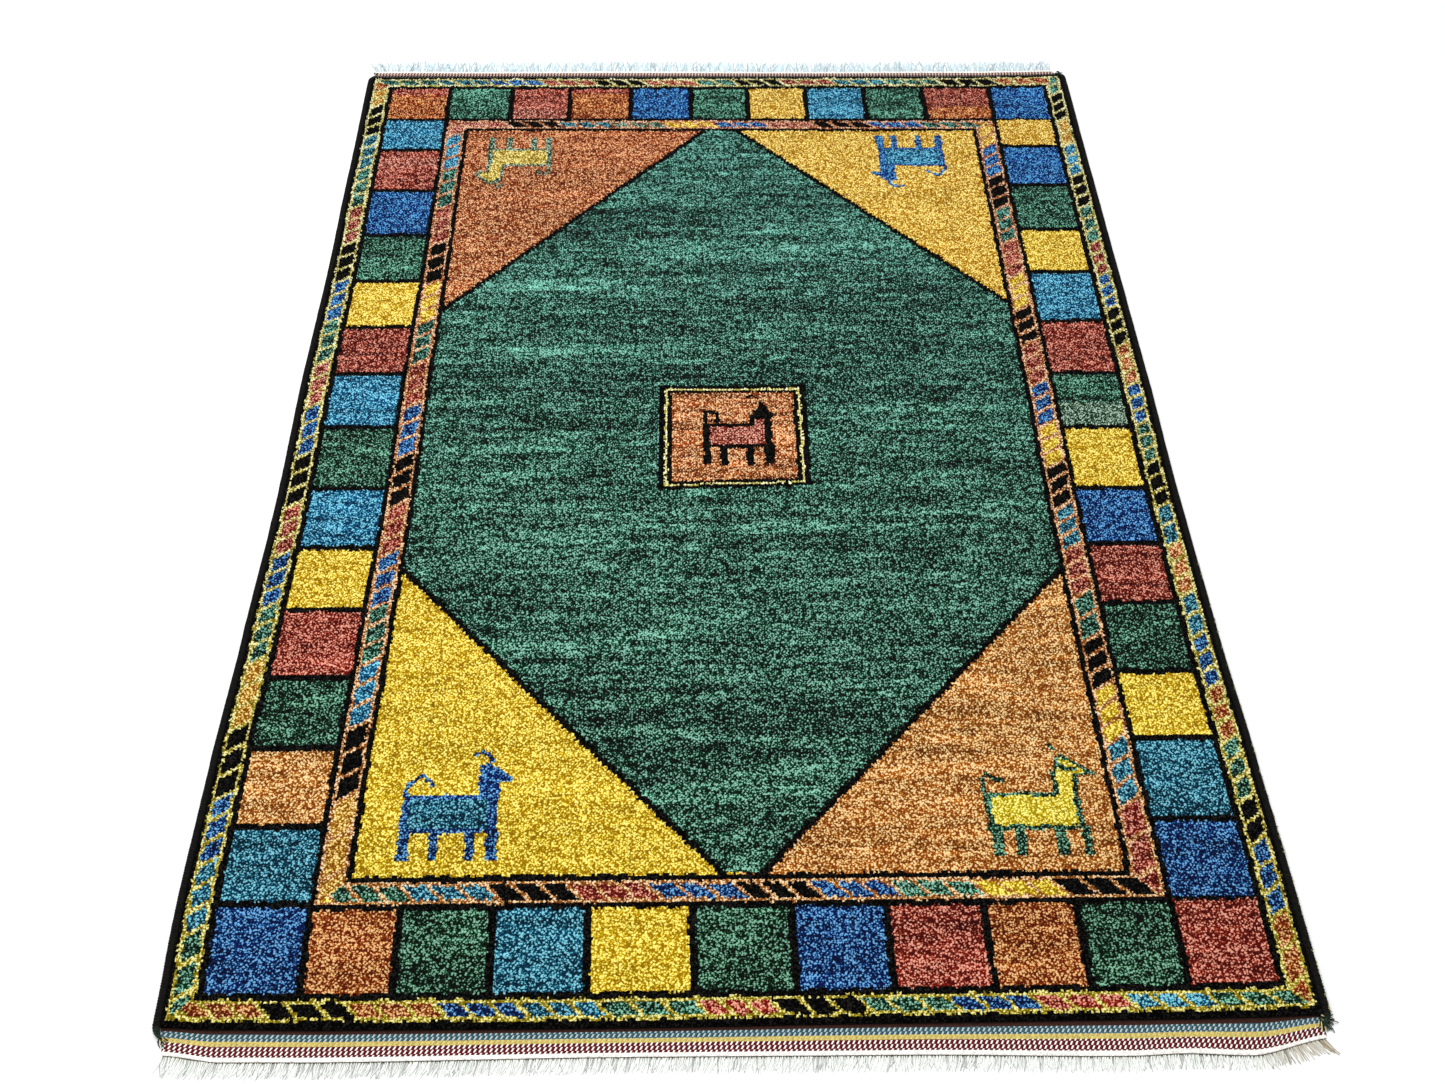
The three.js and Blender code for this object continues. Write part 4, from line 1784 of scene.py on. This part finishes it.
@dataclass
class Selvedge:
    """Black wool overcast along one side: a soft bar with a ridge for each turn of yarn."""

    rug: Rug
    side: Side
    node: str
    near_end: float
    far_end: float
    pitch: float = 3.2
    stations_to_a_turn: int = 4
    sides: int = 9
    half_width: float = 4.5
    half_height: float = 4.2
    gap: float = 0.3
    ridge: float = 0.07
    ridge_jitter: float = 0.025
    flattening: float = 0.99
    turn_in: float = 6.0
    turn_length: float = 14.0
    end_size: float = 0.35
    swells: tuple[tuple[float, float], ...] = ((35, 0.04), (9, 0.03))
    wear: tuple[float, float] = (0.12, 0.12)
    wrap_reach: float = 2.2
    colour: str = "#0C0B0B"
    worn: str = "#2A2822"
    wrap: str = "#26372A"
    wisp_colour: str = "#B4AC74"
    # The wisps crowd towards the near end of the stretch that they lie on.
    wisps: int = 0
    wisps_from: float = 15.0
    wisps_over: float = 620.0
    wisps_crowding: float = 1.6
    wisp_sink: float = 0.98
    wisp_turns: tuple[float, float] = (-0.1, 1.1)
    wisp_lengths: tuple[float, float] = (2.0, 5.0)
    wisp_lean: float = 0.7
    wisp_arch: float = 0.8
    wisp_radii: tuple[float, ...] = (0.15, 0.42, 0.15)
    wisp_shades: tuple[float, float] = (0.5, 1.1)
    loose: tuple[LooseEnds, ...] = ()

    def build(self) -> bpy.types.Object:
        """Builds the overcast bar.

        Returns:
            The bar.
        """
        rng = np.random.default_rng(SEED + 20 + self.side.value)
        step = self.pitch / self.stations_to_a_turn
        y = np.arange(self.near_end, self.far_end, step)
        outline = self.rug.outline
        edge = outline.left(y) if self.side is Side.LEFT else outline.right(y)
        centre = edge + self.side.value * (self.half_width + self.gap)
        to_end = np.minimum(y - self.near_end, self.far_end - y)
        closeness = np.clip(to_end / self.turn_length, 0, 1)
        taper = self.end_size + (1 - self.end_size) * np.sqrt(closeness)
        ending = 1 - closeness
        centre = centre - self.side.value * self.turn_in * ending**2
        swell = 1 + sum(share * drift(rng, y, y * 0, length, 1) for length, share in self.swells)
        turn = np.arange(self.sides) * 2 * math.pi / self.sides + math.pi / self.sides
        phase = 2 * math.pi * y[:, None] / self.pitch + self.side.value * turn[None]
        jitter = rng.uniform(-self.ridge_jitter, self.ridge_jitter, phase.shape)
        size = (taper * swell)[:, None] * (1 + self.ridge * np.cos(phase) + jitter)
        x = centre[:, None] + np.cos(turn)[None] * self.half_width * size
        z = self.half_height * (1 + np.sin(turn)[None] * size) * self.flattening
        points = self.rug.place(x, y[:, None], np.maximum(z, FOOT))
        wool, faded, wrap = (np.array(linear(c)) for c in (self.colour, self.worn, self.wrap))
        faces = (len(y) - 1) * self.sides
        wear = np.clip(rng.normal(*self.wear, faces), 0, 1)[:, None]
        tint = wool * (1 - wear) + faded * wear
        wrapped = np.repeat(ending[:-1], self.sides) * rng.uniform(0, self.wrap_reach, faces)
        wrapped = np.clip(wrapped, 0, 1)[:, None]
        tint = tint * (1 - wrapped) + wrap * wrapped
        shape = Shape()
        shape.add_rings(points, tint[:, None], wool, wool)
        self._wisps(shape, rng)
        for bunch in self.loose:
            bunch.add_to(shape, self.rug, rng)
        piece = shape.make(self.node.replace("selvedge", "overcast"))
        return self.rug.lay(piece, (OvercastWool(),), "overcast_wool", self.node)

    def _wisps(self, shape: Shape, rng: np.random.Generator) -> None:
        """Adds the short pale fibres that stick to the outer edge, most of them near the end."""
        pale = np.array(linear(self.wisp_colour))
        outline = self.rug.outline
        for _ in range(self.wisps):
            along = self.wisps_over * rng.random() ** self.wisps_crowding
            y = self.near_end + self.wisps_from + along
            edge = float(outline.left(y) if self.side is Side.LEFT else outline.right(y))
            turn = rng.uniform(*self.wisp_turns)
            reach = self.half_width * self.wisp_sink
            x = edge + self.side.value * (self.half_width + self.gap + reach * math.cos(turn))
            z = self.half_height * (1 + self.wisp_sink * math.sin(turn))
            length = rng.uniform(*self.wisp_lengths)
            lean = rng.normal(0, self.wisp_lean)
            share = np.linspace(-0.5, 0.5, len(self.wisp_radii))
            rise = (0.25 - share**2) * self.wisp_arch
            across = share * length * math.sin(lean)
            path = self.rug.place(x + across, y + share * length, z + rise)
            shade = rng.uniform(*self.wisp_shades)
            shape.add_tube(path, np.array(self.wisp_radii) * MM, 4, pale * shade)


class End(Enum):
    """The two ends of the rug."""

    NEAR = -1
    FAR = 1


@dataclass
class Fringe:
    """The cut cotton warps at one end, which lie on the floor."""

    rug: Rug
    end: End
    node: str
    edge_column: int
    tip_column: int
    span: tuple[float, float]
    lean: tuple[tuple[float, float], ...]
    colour: str
    shaded_root_colour: str
    soiled: str
    soiled_from: float
    strands: int = 880
    stations: int = 6
    sides: int = 5
    root_radius: float = 0.68
    tip_radius: float = 0.30
    # What sets one strand apart from the next; some lie sunken under the others and are darkened
    # with painted shade.
    spacing_jitter: float = 0.3
    root_tuck: float = 2.5
    lengths: tuple[float, float] = (0.70, 0.95)
    sway: float = 0.11
    sway_power: float = 1.4
    curl: float = 0.06
    curl_turns: float = 1.5
    root_lift: float = 1.1
    arch: float = 0.6
    thicknesses: tuple[float, float] = (0.8, 1.15)
    soiled_over: float = 0.05
    soiling: tuple[float, float] = (0.3, 1.0)
    root_fade: float = 3.0
    shades: tuple[float, float] = (0.92, 1.05)
    sunken_share: float = 0.28
    sunken_height: float = 0.75
    sunken_shades: tuple[float, float] = (0.45, 0.75)

    def build(self) -> bpy.types.Object:
        """Builds the strands.

        Returns:
            The fringe.
        """
        rng = np.random.default_rng(SEED + 40 + self.end.value)
        outline = self.rug.outline
        way = self.end.value
        shape = Shape()
        first, last = self.span
        pale, root, soil = (
            np.array(linear(c)) for c in (self.colour, self.shaded_root_colour, self.soiled)
        )
        share = np.linspace(0, 1, self.stations)
        thinning = (self.tip_radius - self.root_radius) * share**1.5
        for number in range(self.strands):
            spread = rng.uniform(-self.spacing_jitter, self.spacing_jitter)
            spot = (number + 0.5 + spread) / self.strands
            x0 = first + (last - first) * spot
            start = float(outline.end(self.edge_column, x0)) - way * self.root_tuck
            reach = float(outline.end(self.tip_column, x0)) - start
            reach *= rng.uniform(*self.lengths)
            sway = (float(ease(self.lean, 1, spot)) + rng.normal(0, self.sway)) * abs(reach)
            curl = rng.normal(0, self.curl) * abs(reach)
            bent = curl * np.sin(share * math.pi * self.curl_turns)
            x = x0 + sway * share**self.sway_power + bent
            y = start + reach * share
            lift = rng.uniform(0.0, self.arch) * np.sin(share * math.pi)
            z = self.root_lift * (1 - share) ** 2 + self.root_radius + lift
            radii = (self.root_radius + thinning) * rng.uniform(*self.thicknesses)
            dirt = np.clip((spot - self.soiled_from) / self.soiled_over, 0, 1)
            dirt = dirt * rng.uniform(*self.soiling)
            # Near the root each strand takes painted shade, where it leaves from under the rug's
            # raised edge.
            tint = root + (pale - root) * np.clip(share * self.root_fade, 0, 1)[:, None]
            tint = tint * (1 - dirt) + soil * dirt
            # A sunken strand is laid lower and darkened with painted shade.
            sunken = rng.random() < self.sunken_share
            tint = tint * rng.uniform(*(self.sunken_shades if sunken else self.shades))
            z = z * (self.sunken_height if sunken else 1.0)
            shape.add_tube(self.rug.place(x, y, z), radii * MM, self.sides, tint)
        piece = shape.make(self.node.replace("fringe", "warp_fringe"))
        return self.rug.lay(piece, (TwistedCotton(),), "fringe_cotton", self.node)


# The room


@dataclass
class Studio:
    """A pale floor, soft light and the photograph's camera."""

    rug: Rug
    floor_size: float = 14.0
    location: tuple[float, float, float] = (-0.0542, -1.5397, 1.5347)
    yaw: float = 0.03101
    pitch: float = 0.85519
    roll: float = -0.01850
    lens: float = 39.05
    sensor: float = 36.0
    sky: str = "#F4F6FA"
    sky_strength: float = 0.62
    lamp_power: float = 118.0
    lamp_size: float = 3.2
    lamp_at: tuple[float, float, float] = (-0.7, 0.5, 3.3)

    def build(self) -> None:
        """Builds the floor, the light and the camera."""
        self._floor()
        self._light()
        self._camera()
        bpy.context.scene.view_settings.view_transform = "Standard"

    def _floor(self) -> None:
        """Lays the floor."""
        half = self.floor_size / 2
        mesh = bpy.data.meshes.new("floor")
        corners = [(-half, -half, 0), (half, -half, 0), (half, half, 0), (-half, half, 0)]
        mesh.from_pydata(corners, [], [(0, 1, 2, 3)])
        floor = bpy.data.objects.new("floor", mesh)
        bpy.context.scene.collection.objects.link(floor)
        mesh.materials.append(PaintedFloor().material())

    def _light(self) -> None:
        """Hangs one large soft lamp in a bright, even room."""
        world = bpy.data.worlds.new("bright_room")
        world.use_nodes = True
        background = world.node_tree.nodes["Background"]
        background.inputs["Color"].default_value = (*linear(self.sky), 1.0)
        background.inputs["Strength"].default_value = self.sky_strength
        bpy.context.scene.world = world
        lamp = bpy.data.lights.new("soft_lamp", "AREA")
        lamp.energy = self.lamp_power
        lamp.size = self.lamp_size
        holder = bpy.data.objects.new("soft_lamp", lamp)
        holder.location = self.lamp_at
        aim = Vector((0, 0, 0)) - Vector(self.lamp_at)
        holder.rotation_euler = aim.to_track_quat("-Z", "Y").to_euler()
        bpy.context.scene.collection.objects.link(holder)

    def _camera(self) -> None:
        """Places the camera where the photograph was taken from."""
        yaw, pitch, roll = self.yaw, self.pitch, self.roll
        ahead = Vector((
            math.sin(yaw) * math.cos(pitch), math.cos(yaw) * math.cos(pitch), -math.sin(pitch),
        ))
        level = Vector((math.cos(yaw), -math.sin(yaw), 0))
        under = ahead.cross(level)
        right = math.cos(roll) * level + math.sin(roll) * under
        down = -math.sin(roll) * level + math.cos(roll) * under
        lens = bpy.data.cameras.new("photograph")
        lens.lens = self.lens
        lens.sensor_width = self.sensor
        lens.clip_start = 0.01
        camera = bpy.data.objects.new("photograph", lens)
        turn = Matrix((right, -down, -ahead)).transposed().to_4x4()
        at = Vector(self.location) + Vector(self.rug.shift)
        camera.matrix_world = Matrix.Translation(at) @ turn
        bpy.context.scene.collection.objects.link(camera)
        bpy.context.scene.camera = camera


def main() -> None:
    """Builds the rug and its room, and reports each piece."""
    logging.basicConfig(level=logging.INFO, format="%(name)s: %(message)s")
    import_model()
    rug = Rug()
    rug.settle()
    Studio(rug).build()
    pile = KnottedPile(rug).build()
    Selvedge(
        rug,
        Side.LEFT,
        "left_selvedge",
        near_end=-871.0,
        far_end=864.0,
        loose=(
            LooseEnds((-592, -872), -0.9, 0.4, 9, ("#26372A", "#141614", "#6E7250"), 6),
            LooseEnds((-597, 868), 1.9, 0.5, 16, ("#1C2A22", "#3C4A36", "#9AA080"), 6),
        ),
    ).build()
    Selvedge(
        rug,
        Side.RIGHT,
        "right_selvedge",
        near_end=-871.0,
        far_end=877.0,
        wisps=150,
        loose=(
            LooseEnds(
                (592, -862), -0.7, 1.0, 17, ("#CFC88A", "#0E0E0D", "#23402E", "#0E0E0D"), 26
            ),
            LooseEnds((592, 876), 1.0, 0.5, 15, ("#16302E", "#1B2422"), 6),
        ),
    ).build()
    Fringe(
        rug,
        End.NEAR,
        "near_fringe",
        edge_column=1,
        tip_column=5,
        span=(-588.0, 590.0),
        lean=((0, -0.25), (0.1, -0.20), (0.9, -0.08), (0.96, 0.15), (1, 0.8)),
        colour="#FAFDF6",
        shaded_root_colour="#EDF0E4",
        soiled="#BCAA86",
        soiled_from=0.93,
    ).build()
    Fringe(
        rug,
        End.FAR,
        "far_fringe",
        edge_column=4,
        tip_column=6,
        span=(-597.0, 582.0),
        lean=((0, -0.5), (0.03, -0.12), (0.5, 0), (1, 0.12)),
        colour="#D3E8ED",
        shaded_root_colour="#C2D6DB",
        soiled="#C4D2D2",
        soiled_from=0.97,
    ).build()
    FlatWeave(rug).build(pile)


if __name__ == "__main__":
    main()
